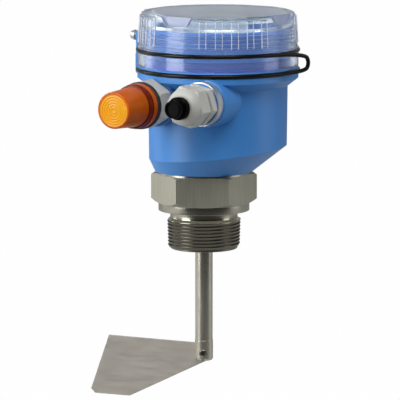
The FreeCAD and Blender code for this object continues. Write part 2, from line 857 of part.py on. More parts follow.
def lock_lug():
    """Lug beside the cover that carries the lock screw, on a foot that grows out of the rim."""
    body = new_body("lock_lug")
    inner, outer = size.lug_inner_radius, size.lug_inner_radius + size.lug_thickness
    foot_low = parting_plane - size.lug_foot_drop
    foot_inner = size.rim_diameter / 2 - 4
    extrude(body, lambda sketch: outline(sketch, [
        (foot_inner, foot_low), (outer, foot_low), (outer + size.lug_foot, foot_low + 2),
        (outer + size.lug_foot, parting_plane + size.lug_foot_height),
        (outer, parting_plane + size.lug_foot_height + 0.6), (outer, parting_plane + size.lug_height - 2),
        (outer - 1.2, parting_plane + size.lug_height), (inner, parting_plane + size.lug_height),
        (inner, parting_plane), (foot_inner, parting_plane),
    ]), size.lug_width, role="XZ_Plane", low=-size.lug_width / 2)
    place(body, at=(size.housing_offset, 0, 0), turn=size.lug_turn)
    return body


def place_on_lug(item):
    """Put an item modelled along -Y on the lock screw's axis, measured from the lug's outer face."""
    reach = size.lug_inner_radius + size.lug_thickness
    x = size.housing_offset + reach * size.lug_turn.cosine()
    place(item, at=(x, reach * size.lug_turn.sine(), parting_plane + size.lock_height), turn=size.lug_turn + 90)


def lock_screw():
    """Domed lock screw, turned out until its tip is clear of the cover's flange."""
    radius = size.lock_thread_diameter / 2
    head = size.lock_head_diameter / 2
    seat = size.lock_washer_thickness + size.lock_travel + size.running_gap
    top = seat + size.lock_head_height
    tip = size.seat_gap - size.lug_thickness
    body = turned("lock_screw", [
        (0, tip), (radius - 0.5, tip), (radius, tip + 0.6), (radius, seat), (head, seat),
        (head, seat + size.lock_head_height * 0.35), (head * 0.82, top - size.lock_head_height * 0.22),
        (head * 0.45, top), (head * 0.4, top - 1.2), (0, top - 1.2),
    ], upright=False)
    place_on_lug(body)
    return keep(body)


def lock_washer():
    """Washer that stays under the lock screw's head, clear of the lug until the screw is turned in."""
    low = size.lock_travel + size.running_gap
    body = ring("lock_washer", size.lock_thread_diameter / 2 + size.running_gap, size.lock_washer_diameter / 2, low,
                low + size.lock_washer_thickness, upright=False)
    place_on_lug(body)
    return keep(body)


def cord_ring(label, height, half):
    """A full ring of octagonal section at the cord's radius."""
    return turned(label, octagon(half, size.cord_radius, height))


def cord_arc(label, height):
    """The part of a cord ring from where its strand leaves, round the back, to where the strand is clear."""
    body = new_body(label)
    sketch = new_sketch(body, "XZ_Plane")
    outline(sketch, octagon(size.cord_diameter / 2, size.cord_radius, height))
    feature = body.newObject("PartDesign::Revolution", f"{label}_turn")
    feature.Profile = sketch
    feature.ReferenceAxis = (sketch, ["V_Axis"])
    bind(feature, "Angle", 360 - size.cord_open)
    sketch.Visibility = False
    place(body, at=(size.housing_offset, 0, 0), turn=size.cord_leave - 90 + size.cord_open)
    return keep(body)


def cord_loop():
    """The cord's loop beside the cover: out along one strand, round a bend and back along the other."""
    high = parting_plane + size.upper_cord_height
    low = parting_plane - size.lower_cord_drop
    half = (high - low).number / 2
    middle = (high + low).number / 2
    leave = math.radians(size.cord_leave.number - 90)
    radius = size.cord_radius.number
    start = FreeCAD.Vector(size.housing_offset.number + radius * math.cos(leave), radius * math.sin(leave), 0)
    ahead = FreeCAD.Vector(-math.sin(leave), math.cos(leave), 0)
    corner = half / math.cos(math.radians(30))
    run = size.cord_run.number
    stations = [(size.seat_gap.number * 3, half)]
    stations += [
        (run + corner * math.sin(math.radians(angle)), corner * math.cos(math.radians(angle)))
        for angle in (30, 90, 150)
    ]
    stations += [(0, -half)]
    points = [start + ahead * along + FreeCAD.Vector(0, 0, middle + up) for along, up in stations]
    path = rounded_path(points)
    across = Part.Circle(points[0], ahead, size.cord_diameter.number / 2)
    tube = Part.Wire(path).makePipeShell([Part.Wire([across.toShape()])], True, False)
    expected = math.pi * size.cord_diameter.number ** 2 / 4 * sum(edge.Length for edge in path)
    print("cord loop: length", round(sum(edge.Length for edge in path), 2),
          "volume over section times length", round(tube.Volume / expected, 4))
    item = doc.addObject("Part::Feature", "cover_cord_loop")
    item.Shape = tube
    return keep(item)


def rounded_path(points):
    """Straight runs joined by tangent arcs; each arc's radius comes from its shorter run and its turn."""
    edges = []
    last = points[0]
    for before, corner, after in zip(points, points[1:], points[2:]):
        back = (before - corner).normalize()
        ahead = (after - corner).normalize()
        turn = math.pi - back.getAngle(ahead)
        trim = 0.45 * min((before - corner).Length, (after - corner).Length)
        radius = trim / math.tan(turn / 2)
        middle = (back + ahead).normalize() * (radius / math.cos(turn / 2) - radius)
        first, final = corner + back * trim, corner + ahead * trim
        edges.append(Part.LineSegment(last, first).toShape())
        edges.append(Part.Arc(first, corner + middle, final).toShape())
        print("cord bend radius", round(radius, 2))
        last = final
    edges.append(Part.LineSegment(last, points[-1]).toShape())
    return edges


def cover():
    """Clear screw cover: flange with its cord groove, tapered side with grip ribs, and notches in the top edge."""
    low = parting_plane + size.cover_gap
    step = parting_plane + size.cover_flange_height
    shoulder = step + size.cover_step_height
    top = parting_plane + size.cover_height
    rim = size.rim_diameter / 2
    side_low, side_high = size.cover_side_diameter / 2, size.cover_top_diameter / 2
    bore = neck_radius + size.thread_gap
    roof = top - size.cover_roof
    haunch = top - size.cover_haunch_height
    body = new_body("cover_form")
    edge = size.cover_edge
    lathe(body, [
        (bore, low), (rim - 0.5, low), (rim, low + 0.5), (rim, step), (rim - 0.6, step + 0.3),
        (side_low + 0.2, shoulder), (side_low, shoulder + 0.2),
        (side_high, top - edge), (side_high - edge * 0.3, top - edge * 0.3), (side_high - edge, top), (0, top),
        (0, roof), (bore - size.cover_haunch - 1.6, roof), (bore - size.cover_haunch, roof - 1.6),
        (bore - size.cover_haunch, haunch + 1.5), (bore, haunch),
    ])
    lathe(body, octagon(size.cord_diameter / 2 + size.cord_gap, size.cord_radius,
                        parting_plane + size.upper_cord_height), cut=True)
    ribs = []
    sector = 360 / size.notch_count
    taper = (side_low - side_high) / (top - edge - shoulder)
    rib_root = side_high - size.cover_wall / 3
    rib_low, rib_high = shoulder + 0.2, shoulder + 0.2 + size.rib_height
    rib_foot = side_low + size.rib_depth
    rib_head = rib_foot - size.rib_height * taper
    rib_outline = [(rib_root, rib_low), (rib_foot - 0.4, rib_low), (rib_foot, rib_low + 0.4),
                   (rib_head, rib_high - size.rib_depth), (rib_head - size.rib_depth, rib_high), (rib_root, rib_high)]
    for notch in range(int(SIZES["notch_count"])):
        for number in range(int(SIZES["rib_count"])):
            rib = new_body(f"cover_rib_{notch}_{number}")
            extrude(rib, lambda sketch: outline(sketch, rib_outline), size.rib_width, role="XZ_Plane",
                    low=-size.rib_width / 2)
            middle = (size.rib_count - 1) / 2
            place(rib, turn=size.notch_first + sector * (notch + 0.5) + size.rib_pitch * (number - middle))
            ribs.append(rib)
    ribbed = boolean("MultiFuse", "cover_ribbed", body, *ribs)
    notches = []
    for notch in range(int(SIZES["notch_count"])):
        cutter = new_body(f"cover_notch_{notch}")
        floor = top - size.notch_height
        outer = side_low + 2
        extrude(cutter, lambda sketch: outline(sketch, [
            (-size.notch_floor_width / 2, floor), (size.notch_floor_width / 2, floor),
            (size.notch_top_width / 2, top + 1), (-size.notch_top_width / 2, top + 1),
        ]), size.notch_depth + 2, role="XZ_Plane", low=outer - size.notch_depth - 2)
        place(cutter, turn=size.notch_first + sector * notch + 90)
        notches.append(cutter)
    slots = boolean("MultiFuse", "cover_notches", *notches)
    shell = boolean("Cut", "cover", ribbed, slots)
    place(shell, at=(size.housing_offset, 0, 0))
    return keep(shell)


def cover_gasket():
    """Square rubber ring between the neck and the cover's flange."""
    section = size.thread_gap - size.seat_gap
    body = turned("cover_gasket", [
        (neck_radius, parting_plane), (neck_radius + section, parting_plane),
        (neck_radius + section, parting_plane + 2), (neck_radius, parting_plane + 2)])
    place(body, at=(size.housing_offset, 0, 0))
    return keep(body)


def neck_seal():
    """Rubber ring between the housing's base and the process connection."""
    spigot = size.spigot_diameter / 2
    outer = spigot + size.seat_gap + size.neck_seal_section
    return keep(ring("neck_seal", spigot + size.running_gap, outer, base_plane, base_plane + size.neck_seal_section * 0.8))


def neck_nut():
    """Flat hexagon nut that clamps the housing on the spigot."""
    body = new_body("neck_nut")
    bore = size.spigot_diameter / 2 + size.running_gap
    extrude(body, lambda sketch: (outline(sketch, polygon(size.neck_nut_flats)), circle(sketch, bore)),
            size.neck_nut_height, low=sump_plane)
    return keep(body)


def entry_ring():
    """Bright metal ring on the front entry's boss."""
    body = entry_turned("entry_ring", 1, [
        (size.entry_ring_bore / 2, 0), (size.entry_ring_diameter / 2, 0),
        (size.entry_ring_diameter / 2, size.entry_ring_height), (size.entry_ring_bore / 2, size.entry_ring_height)])
    return keep(body)


def hexed(body, flats, turn, low, height, chamfer=0.9):
    """Add a hexagon along -Y with both ends chamfered to its flats' circle."""
    radius = as_dim(flats) / 2
    corner = radius * HEX_CORNER
    extrude(body, lambda sketch: outline(sketch, polygon(flats, turn)), height, role="XZ_Plane", low=low)
    for end, into in ((as_dim(low), 1), (low + as_dim(height), -1)):
        lathe(body, [
            (radius + 0.1, end - into), (corner + 1, end - into),
            (corner + 1, end + into * chamfer), (corner, end + into * chamfer), (radius + 0.1, end)],
            upright=False, cut=True)
    return corner


def gland_body():
    """Cable gland's body: thread in the boss, collar, hexagon and the neck inside the cap nut."""
    body = new_body("gland_body")
    bore = size.gland_bore / 2
    tail = size.entry_bore / 2
    collar = size.gland_collar_diameter / 2
    seat = size.entry_ring_height
    hex_low = seat + size.gland_collar_height
    hex_high = hex_low + size.gland_hex_height
    neck = size.gland_neck_diameter / 2
    hexed(body, size.gland_flats, size.gland_hex_turn, hex_low, size.gland_hex_height)
    neck_end = hex_high + size.gland_neck_height
    lathe(body, [
        (bore, -size.gland_tail), (tail - 0.8, -size.gland_tail), (tail, -size.gland_tail + 0.8), (tail, seat),
        (collar, seat), (collar, hex_low + 0.5), (size.gland_flats / 2 - 1, hex_low + 0.5),
        (size.gland_flats / 2 - 1, hex_high), (neck, hex_high), (neck, neck_end), (bore, neck_end)], upright=False)
    lathe(body, [(0, -size.gland_tail - 1), (bore, -size.gland_tail - 1), (bore, neck_end + 1), (0, neck_end + 1)],
          upright=False, cut=True)
    place_at_entry(body, 1)
    return keep(body)


def nut_low():
    """Distance of the cap nut's open end from the boss's face."""
    return size.entry_ring_height + size.gland_collar_height + size.gland_hex_height + size.nut_gap


def gland_cap_nut():
    """Gland's cap nut: hexagon that rounds into a domed nose with the cable's hole."""
    body = new_body("gland_cap_nut")
    low = nut_low()
    high = low + size.nut_height
    shoulder = low + size.nut_hex_height
    hexed(body, size.gland_flats, size.gland_hex_turn, low, size.nut_hex_height, chamfer=0.7)
    nose = size.nut_nose_diameter / 2
    radius = size.gland_flats / 2
    bore = size.nut_bore / 2
    inner = size.gland_neck_diameter / 2 + size.running_gap * 2
    lathe(body, [
        (bore, shoulder - 1), (radius - 0.05, shoulder - 1), (radius - 0.05, high - 4.6),
        (radius - 0.35, high - 3.6), (radius - 0.9, high - 2.5), (radius - 1.7, high - 1.3),
        (radius - 2.6, high - 0.5), (nose, high), (bore, high)], upright=False)
    lathe(body, [
        (0, low - 1), (inner, low - 1), (inner, high - size.nut_roof - 1), (bore, high - size.nut_roof),
        (bore, high + 1), (0, high + 1)], upright=False, cut=True)
    place_at_entry(body, 1)
    return keep(body)


def gland_insert():
    """Rubber sealing ring that the cap nut squeezes on the plug."""
    roof = nut_low() + size.nut_height - size.nut_roof - 1
    neck_end = nut_low() - size.nut_gap + size.gland_neck_height
    inner = size.plug_stem_diameter / 2
    outer = size.gland_neck_diameter / 2
    low = neck_end + 0.3
    body = entry_turned("gland_insert", 1, [
        (inner + size.running_gap, low), (outer - 0.6, low), (outer - 0.1, roof - 0.3), (inner + 1.4, roof + 0.3),
        (inner + size.running_gap, roof + 0.3)])
    return keep(body)


def gland_plug():
    """Two-step black plug in the gland's mouth, with a hollow tip."""
    mouth = nut_low() + size.nut_height + 0.2
    stem = size.plug_stem_diameter / 2
    flange = size.plug_flange_diameter / 2
    tip = size.plug_tip_diameter / 2
    step = mouth + size.plug_flange_height
    end = step + size.plug_tip_height
    hollow = size.plug_hollow_diameter / 2
    body = entry_turned("gland_plug", 1, [
        (0, mouth - size.plug_stem_height), (stem - 0.8, mouth - size.plug_stem_height),
        (stem, mouth - size.plug_stem_height + 0.8), (stem, mouth), (flange, mouth), (flange, step - 1),
        (flange - 0.8, step), (tip, step), (tip, end - 0.5), (tip - 0.5, end), (hollow, end), (hollow, end - 1.2),
        (0, end - 1.2)])
    return keep(body)


def lamp_top():
    """Distance of the lamp gasket's outer face from the boss's face."""
    return size.lamp_collar_height + size.lamp_hex_height + size.lamp_gasket_height


def lamp_body():
    """Signal lamp's body: thread in the boss, hexagon and the post that carries the lens."""
    body = new_body("lamp_body")
    bore = size.lamp_bore / 2
    tail = size.entry_bore / 2
    low = size.lamp_collar_height
    high = low + size.lamp_hex_height
    post = size.lamp_post_diameter / 2
    post_top = lamp_top() + size.lamp_post_height
    hexed(body, size.lamp_flats, size.lamp_hex_turn, low, size.lamp_hex_height, chamfer=1.2)
    lathe(body, [
        (bore, -size.gland_tail), (tail - 0.8, -size.gland_tail), (tail, -size.gland_tail + 0.8), (tail, 0),
        (size.gland_collar_diameter / 2, 0), (size.gland_collar_diameter / 2, low + 0.5),
        (size.lamp_flats / 2 - 1, low + 0.5), (size.lamp_flats / 2 - 1, high), (post, high),
        (post, post_top), (bore, post_top)], upright=False)
    lathe(body, [(0, -size.gland_tail - 1), (bore, -size.gland_tail - 1), (bore, post_top + 1), (0, post_top + 1)],
          upright=False, cut=True)
    place_at_entry(body, -1)
    return keep(body)


def lamp_gasket():
    """Black ring gasket between the lamp's body and its lens."""
    low = lamp_top() - size.lamp_gasket_height
    inner, outer = size.lamp_gasket_bore / 2, size.lamp_gasket_diameter / 2
    body = entry_turned("lamp_gasket", -1, [
        (inner, low), (outer - 0.5, low), (outer, low + 0.5), (outer, lamp_top() - 0.5), (outer - 0.5, lamp_top()),
        (inner, lamp_top())])
    return keep(body)


def lamp_lens():
    """Amber lens: stepped foot, tapered wall and flat face, hollow."""
    low = lamp_top() + size.lens_gap
    base, step = size.lens_base_diameter / 2, size.lens_step_diameter / 2
    foot, face = size.lens_foot_diameter / 2, size.lens_face_diameter / 2
    base_top = low + size.lens_base_height
    step_top = base_top + size.lens_step_height
    end = low + size.lens_height
    edge, wall = size.lens_edge, size.lens_wall
    socket = size.lamp_post_diameter / 2 + size.running_gap
    post_top = lamp_top() + size.lamp_post_height + 0.5
    body = entry_turned("lamp_lens", -1, [
        (socket, low), (base - 0.4, low), (base, low + 0.4), (base, base_top - 0.5), (base - 0.5, base_top),
        (step, base_top), (step, step_top - 0.4), (step - 0.4, step_top), (foot, step_top),
        (face + edge * 0.1, end - edge), (face - edge * 0.3, end - edge * 0.3), (face - edge, end), (0, end),
        (0, end - wall), (face - edge - wall * 0.5, end - wall), (socket - 0.6, post_top + 0.6), (socket, post_top)])
    return keep(body)


def lamp_board():
    """Round board on the lamp's post that carries its light sources."""
    low = lamp_top() + size.lamp_post_height
    body = entry_turned("lamp_board", -1, [
        (0, low), (size.lamp_post_diameter / 2 - 1.8, low),
        (size.lamp_post_diameter / 2 - 1.8, low + size.lamp_board_thickness), (0, low + size.lamp_board_thickness)])
    return keep(body)


def lamp_leds():
    """Ring of small domed light sources on the lamp's board."""
    low = size.lamp_post_height + size.lamp_board_thickness
    radius = size.lamp_led_diameter / 2
    top = low + size.lamp_led_height
    items = []
    for number in range(int(SIZES["lamp_led_count"])):
        turn = 360 / size.lamp_led_count * number + 90
        led = new_body(f"lamp_led_{number}")
        x, up = size.lamp_led_circle / 2 * turn.cosine(), size.lamp_led_circle / 2 * turn.sine()
        extrude(led, lambda sketch: circle(sketch, radius, x, up), top - low - 1.5, role="XZ_Plane", low=low)
        extrude(led, lambda sketch: circle(sketch, radius * 0.66, x, up), top - low, role="XZ_Plane", low=low)
        place_at_entry(led, -1, lamp_top())
        items.append(led)
    return group("lamp_leds", items)


def chassis_plate():
    """Moulded plate on the housing's posts, with the hub that the motor carrier turns on."""
    body = new_body("chassis_plate")
    offset = size.housing_offset
    plate_radius = cavity_radius - size.chassis_gap
    extrude(body, lambda sketch: circle(sketch, plate_radius, offset, 0), size.chassis_thickness, low=chassis_plane)
    extrude(body, lambda sketch: circle(sketch, size.hub_diameter / 2), size.hub_height + 1,
            low=chassis_top - 1)
    extrude(body, lambda sketch: circle(sketch, size.hub_diameter / 2 + 2), arm_plane() - chassis_top + 1,
            low=chassis_top - 1)
    extrude(body, lambda sketch: circle(sketch, size.hub_bore / 2), size.chassis_thickness + size.hub_height + 2,
            low=chassis_plane - 1, cut=True)
    for x, y in post_places():
        extrude(body, lambda sketch: circle(sketch, size.screw_hole / 2, x, y), size.chassis_thickness + 2,
                low=chassis_plane - 1, cut=True)
    spring_top = gearbox_low() + size.spring_rise + size.spring_diameter / 2
    extrude(body, lambda sketch: circle(sketch, 1.6, *spring_anchor()), spring_top - chassis_top + 0.5,
            low=chassis_top - 0.5)
    return keep(body)


def arm_plane():
    """Height of the motor carrier's underside."""
    return chassis_top + size.hub_height - size.carrier_thickness


def spring_anchor():
    """Place of the spring's fixed post on the chassis."""
    return arm_length - 4, -(size.spring_length + 3.2)


def screws(label, places, low, shank):
    """Pan-head screws, their shanks running down from low."""
    items = []
    radius, head = size.screw_diameter / 2, size.screw_head_diameter / 2
    top = low + size.screw_head_height
    for index, (x, y) in enumerate(places):
        screw = turned(f"{label}_{index}", [
            (0, low - shank), (radius, low - shank), (radius, low), (head, low), (head, top - 0.9),
            (head - 0.9, top), (0.9, top), (0.9, top - 1), (0, top - 1)])
        place(screw, at=(x, y, 0))
        items.append(screw)
    return group(label, items)


def motor_carrier():
    """Plate that turns on the chassis's hub with the motor, and trips a switch with its arm."""
    body = new_body("motor_carrier")
    low = arm_plane() + size.seat_gap
    thickness = size.carrier_thickness
    extrude(body, lambda sketch: circle(sketch, size.carrier_diameter / 2), thickness, low=low)
    arm = rectangle(arm_length / 2, 0, arm_length, size.arm_width)
    extrude(body, lambda sketch: outline(sketch, arm), thickness, low=low)
    peg_height = thickness + size.spring_rise + size.spring_diameter / 2
    extrude(body, lambda sketch: circle(sketch, 1.5, arm_length - 4, 0), peg_height, low=low)
    hole = size.hub_diameter / 2 + size.running_gap
    extrude(body, lambda sketch: circle(sketch, hole), thickness + 2, low=low - 1, cut=True)
    return keep(body)


def gearbox_low():
    """Height of the gearbox's underside."""
    return arm_plane() + size.seat_gap + size.carrier_thickness


def gearbox():
    """Flat reduction gearbox on the carrier, with a rib round its lid."""
    low = gearbox_low()
    radius = size.gearbox_diameter / 2
    bore = size.output_bore / 2
    top = low + size.gearbox_height
    return keep(turned("gearbox", [
        (bore, low), (radius, low), (radius, top - 2), (radius - 1, top - 1), (radius - 1, top), (0, top),
        (0, low + 5), (bore, low + 5)]))


def motor_can():
    """Drawn can of the synchronous motor, ribbed near its top."""
    low = gearbox_low() + size.gearbox_height
    radius = size.motor_diameter / 2
    top = low + size.motor_height
    rib = size.motor_rib
    return keep(turned("motor_can", [
        (0, low), (radius, low), (radius, low + 6), (radius - rib, low + 6 + rib), (radius - rib, low + 9),
        (radius, low + 9 + rib), (radius, top - 1.5), (radius - 1.5, top), (9, top), (8, top + 1.4), (0, top + 1.4)]))


def gearbox_output():
    """Gearbox's output stub, held in the coupling."""
    low = coupling_low() + size.coupling_height / 2 + 0.3
    radius = size.output_diameter / 2
    top = gearbox_low() + 4.6
    return keep(turned("gearbox_output", [(0, low), (radius - 0.5, low), (radius, low + 0.5), (radius, top), (0, top)]))


def coupling_low():
    """Height of the coupling's lower end."""
    return shaft_top


def shaft_coupling():
    """Sleeve that joins the shaft to the gearbox's output stub."""
    low = coupling_low()
    middle = low + size.coupling_height / 2
    top = low + size.coupling_height
    outer = size.coupling_diameter / 2
    lower = size.journal_diameter / 2 + size.running_gap
    upper = size.output_diameter / 2 + size.running_gap
    return keep(turned("shaft_coupling", [
        (lower, low), (outer, low), (outer, middle - 0.6), (outer - 0.6, middle), (outer, middle + 0.6),
        (outer, top), (upper, top), (upper, middle + 0.15), (lower, middle + 0.15)]))


def microswitches():
    """Two snap switches on the chassis, one each side of the carrier's arm."""
    items = []
    low = chassis_top
    x = switch_place
    reach = size.arm_width / 2 + size.switch_clearance + size.switch_width / 2
    for number, y in enumerate((reach + size.swing_play, -reach)):
        items.append(block(f"microswitch_{number}", x, y, low, size.switch_length, size.switch_width,
                           size.switch_height))
    return group("microswitches", items)


def return_spring():
    """Tension spring from the carrier's peg to the chassis, drawn as its row of coils."""
    body = new_body("return_spring")
    core, crest = size.spring_diameter / 2 - 0.7, size.spring_diameter / 2
    coils = int(SIZES["spring_coils"])
    pitch = size.spring_length / coils
    points = [(0, 0)]
    for coil in range(coils):
        start = pitch * coil
        points += [(core, start), (crest, start + pitch * 0.3), (crest, start + pitch * 0.7)]
    points += [(core, size.spring_length), (0, size.spring_length)]
    lathe(body, points, upright=False)
    place(body, at=(arm_length - 4, -1.6, gearbox_low() + size.spring_rise))
    return keep(body)


def board_low():
    """Height of the circuit board's underside, which leaves room between its terminals and the cover."""
    roof = parting_plane + size.cover_height - size.cover_roof
    return roof - size.terminal_room - size.terminal_height - size.board_thickness


def board_standoffs():
    """Hexagon pillars between the chassis and the board."""
    items = []
    bore = size.screw_hole / 2
    for index, (x, y) in enumerate(post_places()):
        pillar = new_body(f"standoff_{index}")
        extrude(pillar, lambda sketch: outline(sketch, polygon(size.standoff_flats)), board_low() - chassis_top,
                low=chassis_top)
        extrude(pillar, lambda sketch: circle(sketch, size.screw_diameter / 2), size.standoff_stud + 1,
                low=chassis_top - size.standoff_stud)
        extrude(pillar, lambda sketch: circle(sketch, bore), 9, low=board_low() - 8, cut=True)
        place(pillar, at=(x, y, 0))
        items.append(pillar)
    return group("board_standoffs", items)


def circuit_board():
    """Round board with one flat side, on its four pillars."""
    body = new_body("circuit_board")
    offset = size.housing_offset
    low = board_low()
    extrude(body, lambda sketch: circle(sketch, board_radius, offset, 0), size.board_thickness, low=low)
    beyond = rectangle(offset, size.board_flat + board_radius / 2, board_radius * 2, board_radius)
    extrude(body, lambda sketch: outline(sketch, beyond), size.board_thickness + 2, low=low - 1, cut=True)
    for x, y in post_places():
        extrude(body, lambda sketch: circle(sketch, size.screw_hole / 2, x, y), size.board_thickness + 2,
                low=low - 1, cut=True)
    return keep(body)


def stepped_block(label, x, y, low, width, depth, height, step):
    """A terminal strip: a tall back row and a lower front row."""
    body = new_body(label)
    half = depth / 2
    sketch_outline = [
        (y - half, low), (y + half, low), (y + half, low + height), (y + 0.5, low + height),
        (y + 0.5 - 1, low + height - step), (y - half, low + height - step)]
    sketch = new_sketch(body, "YZ_Plane")
    bind(sketch, "AttachmentOffset.Base.z", x - width / 2)
    outline(sketch, sketch_outline)
    feature = body.newObject("PartDesign::Pad", f"{label}_run")
    feature.Profile = sketch
    bind(feature, "Length", width)
    return body


def power_terminals():
    """Pale terminal strip for the supply and the relay, with a pocket over each clamp screw."""
    low = board_low() + size.board_thickness
    x, y = size.housing_offset - 4, as_dim(-12)
    body = stepped_block("power_terminals", x, y, low, size.terminal_length, size.terminal_depth,
                         size.terminal_height, size.terminal_step)
    for column, row in terminal_places():
        extrude(body, lambda sketch: circle(sketch, size.terminal_screw_diameter / 2 + 0.4, column, row), 4,
                low=low + size.terminal_height - size.terminal_step - 3, cut=True)
    return keep(body)


def terminal_places():
    """Places of the clamp screws in the power terminals' front row."""
    x, y = size.housing_offset - 4, as_dim(-12)
    middle = (size.terminal_count - 1) / 2
    return [(x + size.terminal_pitch * (number - middle), y - size.terminal_depth / 4)
            for number in range(int(SIZES["terminal_count"]))]


def terminal_screws():
    """Slotted clamp screws in the power terminals."""
    low = board_low() + size.board_thickness + size.terminal_height - size.terminal_step - 3
    radius = size.terminal_screw_diameter / 2
    items = []
    for index, (x, y) in enumerate(terminal_places()):
        screw = new_body(f"terminal_screw_{index}")
        extrude(screw, lambda sketch: circle(sketch, radius, x, y), 2.2, low=low)
        extrude(screw, lambda sketch: outline(sketch, rectangle(x, y, radius * 2 + 1, 0.8)), 2, low=low + 1.4,
                cut=True)
        items.append(screw)
    return group("terminal_screws", items)


def signal_terminals():
    """Green plug-in terminal strip for the signal contacts."""
    low = board_low() + size.board_thickness
    x, y = size.housing_offset + 4, as_dim(8)
    return keep(stepped_block("signal_terminals", x, y, low, size.signal_length, size.signal_depth,
                              size.signal_height, size.terminal_step - 2))


def relay():
    """Pale relay beside the signal terminals."""
    body = new_body("relay")
    low = board_low() + size.board_thickness
    x, y = size.housing_offset - 22, 10
    extrude(body, lambda sketch: outline(sketch, rectangle(x, y, size.relay_width, size.relay_length)),
            size.relay_height, low=low)
    return keep(body)


def status_led():
    """Domed signal light on the board."""
    low = board_low() + size.board_thickness
    radius = size.led_diameter / 2
    top = low + size.led_height
    body = turned("status_led", [
        (0, low), (radius + 0.4, low), (radius + 0.4, low + 1), (radius, low + 1), (radius, top - 2),
        (radius * 0.75, top - 0.7), (0, top)])
    place(body, at=(size.housing_offset + 26, -8, 0))
    return keep(body)


def build():
    """Make every piece, check it and write it."""
    process_connection()
    bearing("lower_bearing", lower_bearing_low)
    bearing("upper_bearing", upper_bearing_low)
    shaft_seal()
    output_shaft()
    shaft_circlip()
    circlip_spacer()
    paddle_fork()
    paddle_pin()
    paddle_blade()
    housing_shell()
    neck_seal()
    neck_nut()
    lock_screw()
    lock_washer()
    cover()
    cover_gasket()
    cord_arc("cover_cord_upper", parting_plane + size.upper_cord_height)
    cord_arc("cover_cord_lower", parting_plane - size.lower_cord_drop)
    cord_loop()
    entry_ring()
    gland_body()
    gland_cap_nut()
    gland_insert()
    gland_plug()
    lamp_body()
    lamp_gasket()
    lamp_lens()
    lamp_board()
    lamp_leds()
    chassis_plate()
    motor_carrier()
    gearbox()
    motor_can()
    gearbox_output()
    shaft_coupling()
    microswitches()
    return_spring()
    board_standoffs()
    circuit_board()
    screws("board_screws", post_places(), board_low() + size.board_thickness, as_dim(7))
    power_terminals()
    terminal_screws()
    signal_terminals()
    relay()
    status_led()
    doc.recompute()
    for item in doc.Objects:
        if "Invalid" in item.State or "Error" in item.State:
            raise RuntimeError(f"{item.Name} failed: {item.State}")
    os.makedirs("parts", exist_ok=True)
    for item in NODES:
        shape = item.Shape
        if shape.isNull() or not shape.isValid() or not shape.Solids:
            raise RuntimeError(f"{item.Name} has no valid solid")
        shape.exportStep(f"parts/{item.Name}.step")
        print(f"{item.Name}: {len(shape.Solids)} solid(s), {shape.Volume / 1000:.2f} cm3")


build()
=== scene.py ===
"""Looks of the rotary paddle level switch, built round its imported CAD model.

Sizes are in millimetres and are turned into metres where a mesh is made. The origin lies on the paddle
shaft's axis in the plane of the collar's sealing face; +Z points up into the housing, -Y towards the cable
entries.
"""

import logging
import math
from collections.abc import Callable, Iterable, Sequence
from dataclasses import dataclass, field
from enum import Enum

import bmesh
import bpy
from mathutils import Matrix, Vector

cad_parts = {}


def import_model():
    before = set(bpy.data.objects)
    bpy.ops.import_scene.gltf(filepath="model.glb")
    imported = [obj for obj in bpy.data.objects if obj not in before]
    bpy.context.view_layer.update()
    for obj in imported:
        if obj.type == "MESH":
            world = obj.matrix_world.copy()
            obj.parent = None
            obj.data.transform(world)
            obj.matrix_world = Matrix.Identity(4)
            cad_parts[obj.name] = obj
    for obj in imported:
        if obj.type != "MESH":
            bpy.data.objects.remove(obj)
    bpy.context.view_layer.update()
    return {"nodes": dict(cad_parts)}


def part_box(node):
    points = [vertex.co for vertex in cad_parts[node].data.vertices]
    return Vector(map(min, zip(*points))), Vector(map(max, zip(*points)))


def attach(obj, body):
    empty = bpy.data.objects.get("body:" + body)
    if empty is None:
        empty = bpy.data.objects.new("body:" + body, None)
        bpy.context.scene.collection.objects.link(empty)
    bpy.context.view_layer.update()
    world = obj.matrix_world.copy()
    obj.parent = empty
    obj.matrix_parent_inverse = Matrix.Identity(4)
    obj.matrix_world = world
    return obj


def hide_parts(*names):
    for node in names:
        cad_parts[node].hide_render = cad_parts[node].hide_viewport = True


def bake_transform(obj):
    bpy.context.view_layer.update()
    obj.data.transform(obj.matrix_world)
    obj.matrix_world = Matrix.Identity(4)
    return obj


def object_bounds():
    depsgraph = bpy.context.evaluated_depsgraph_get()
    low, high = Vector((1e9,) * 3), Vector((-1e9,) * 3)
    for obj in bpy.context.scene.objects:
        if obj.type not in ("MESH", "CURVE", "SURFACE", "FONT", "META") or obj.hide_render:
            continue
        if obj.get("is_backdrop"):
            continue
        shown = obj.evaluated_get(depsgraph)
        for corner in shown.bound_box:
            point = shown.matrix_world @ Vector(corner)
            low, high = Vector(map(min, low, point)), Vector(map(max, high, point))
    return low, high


MM = 0.001
PICTURE_SIDE = 400
HOUSING_OFFSET = 9.1
HOUSING_AXIS = Matrix.Translation((HOUSING_OFFSET * MM, 0, 0))
MERGE_DISTANCE = 0.0005
EDGE_RADIUS = 0.45
BUMP_DEPTH = 0.1
COAT_ROUGHNESS = 0.12
TUBE_SIDES = 16
FINE_STEPS = 128
CREASE_ANGLE = 40.0

Colour = tuple[float, float, float]
Pair = tuple[float, float]
Triple = tuple[float, float, float]

log = logging.getLogger("level_switch")


class Body(str, Enum):
    """Names of the CAD bodies that pieces ride on."""

    HOUSING = "housing"
    CORD_CARRIER = "cord_carrier"
    COVER = "cover"
    LENS = "lens"


class Pattern(Enum):
    """How a finish breaks up its surface."""

    MOULDED = "moulded"
    BRUSHED_UPRIGHT = "brushed_upright"
    TURNED = "turned"
    ROLLED = "rolled"
    POLISHED = "polished"


# Node graphs


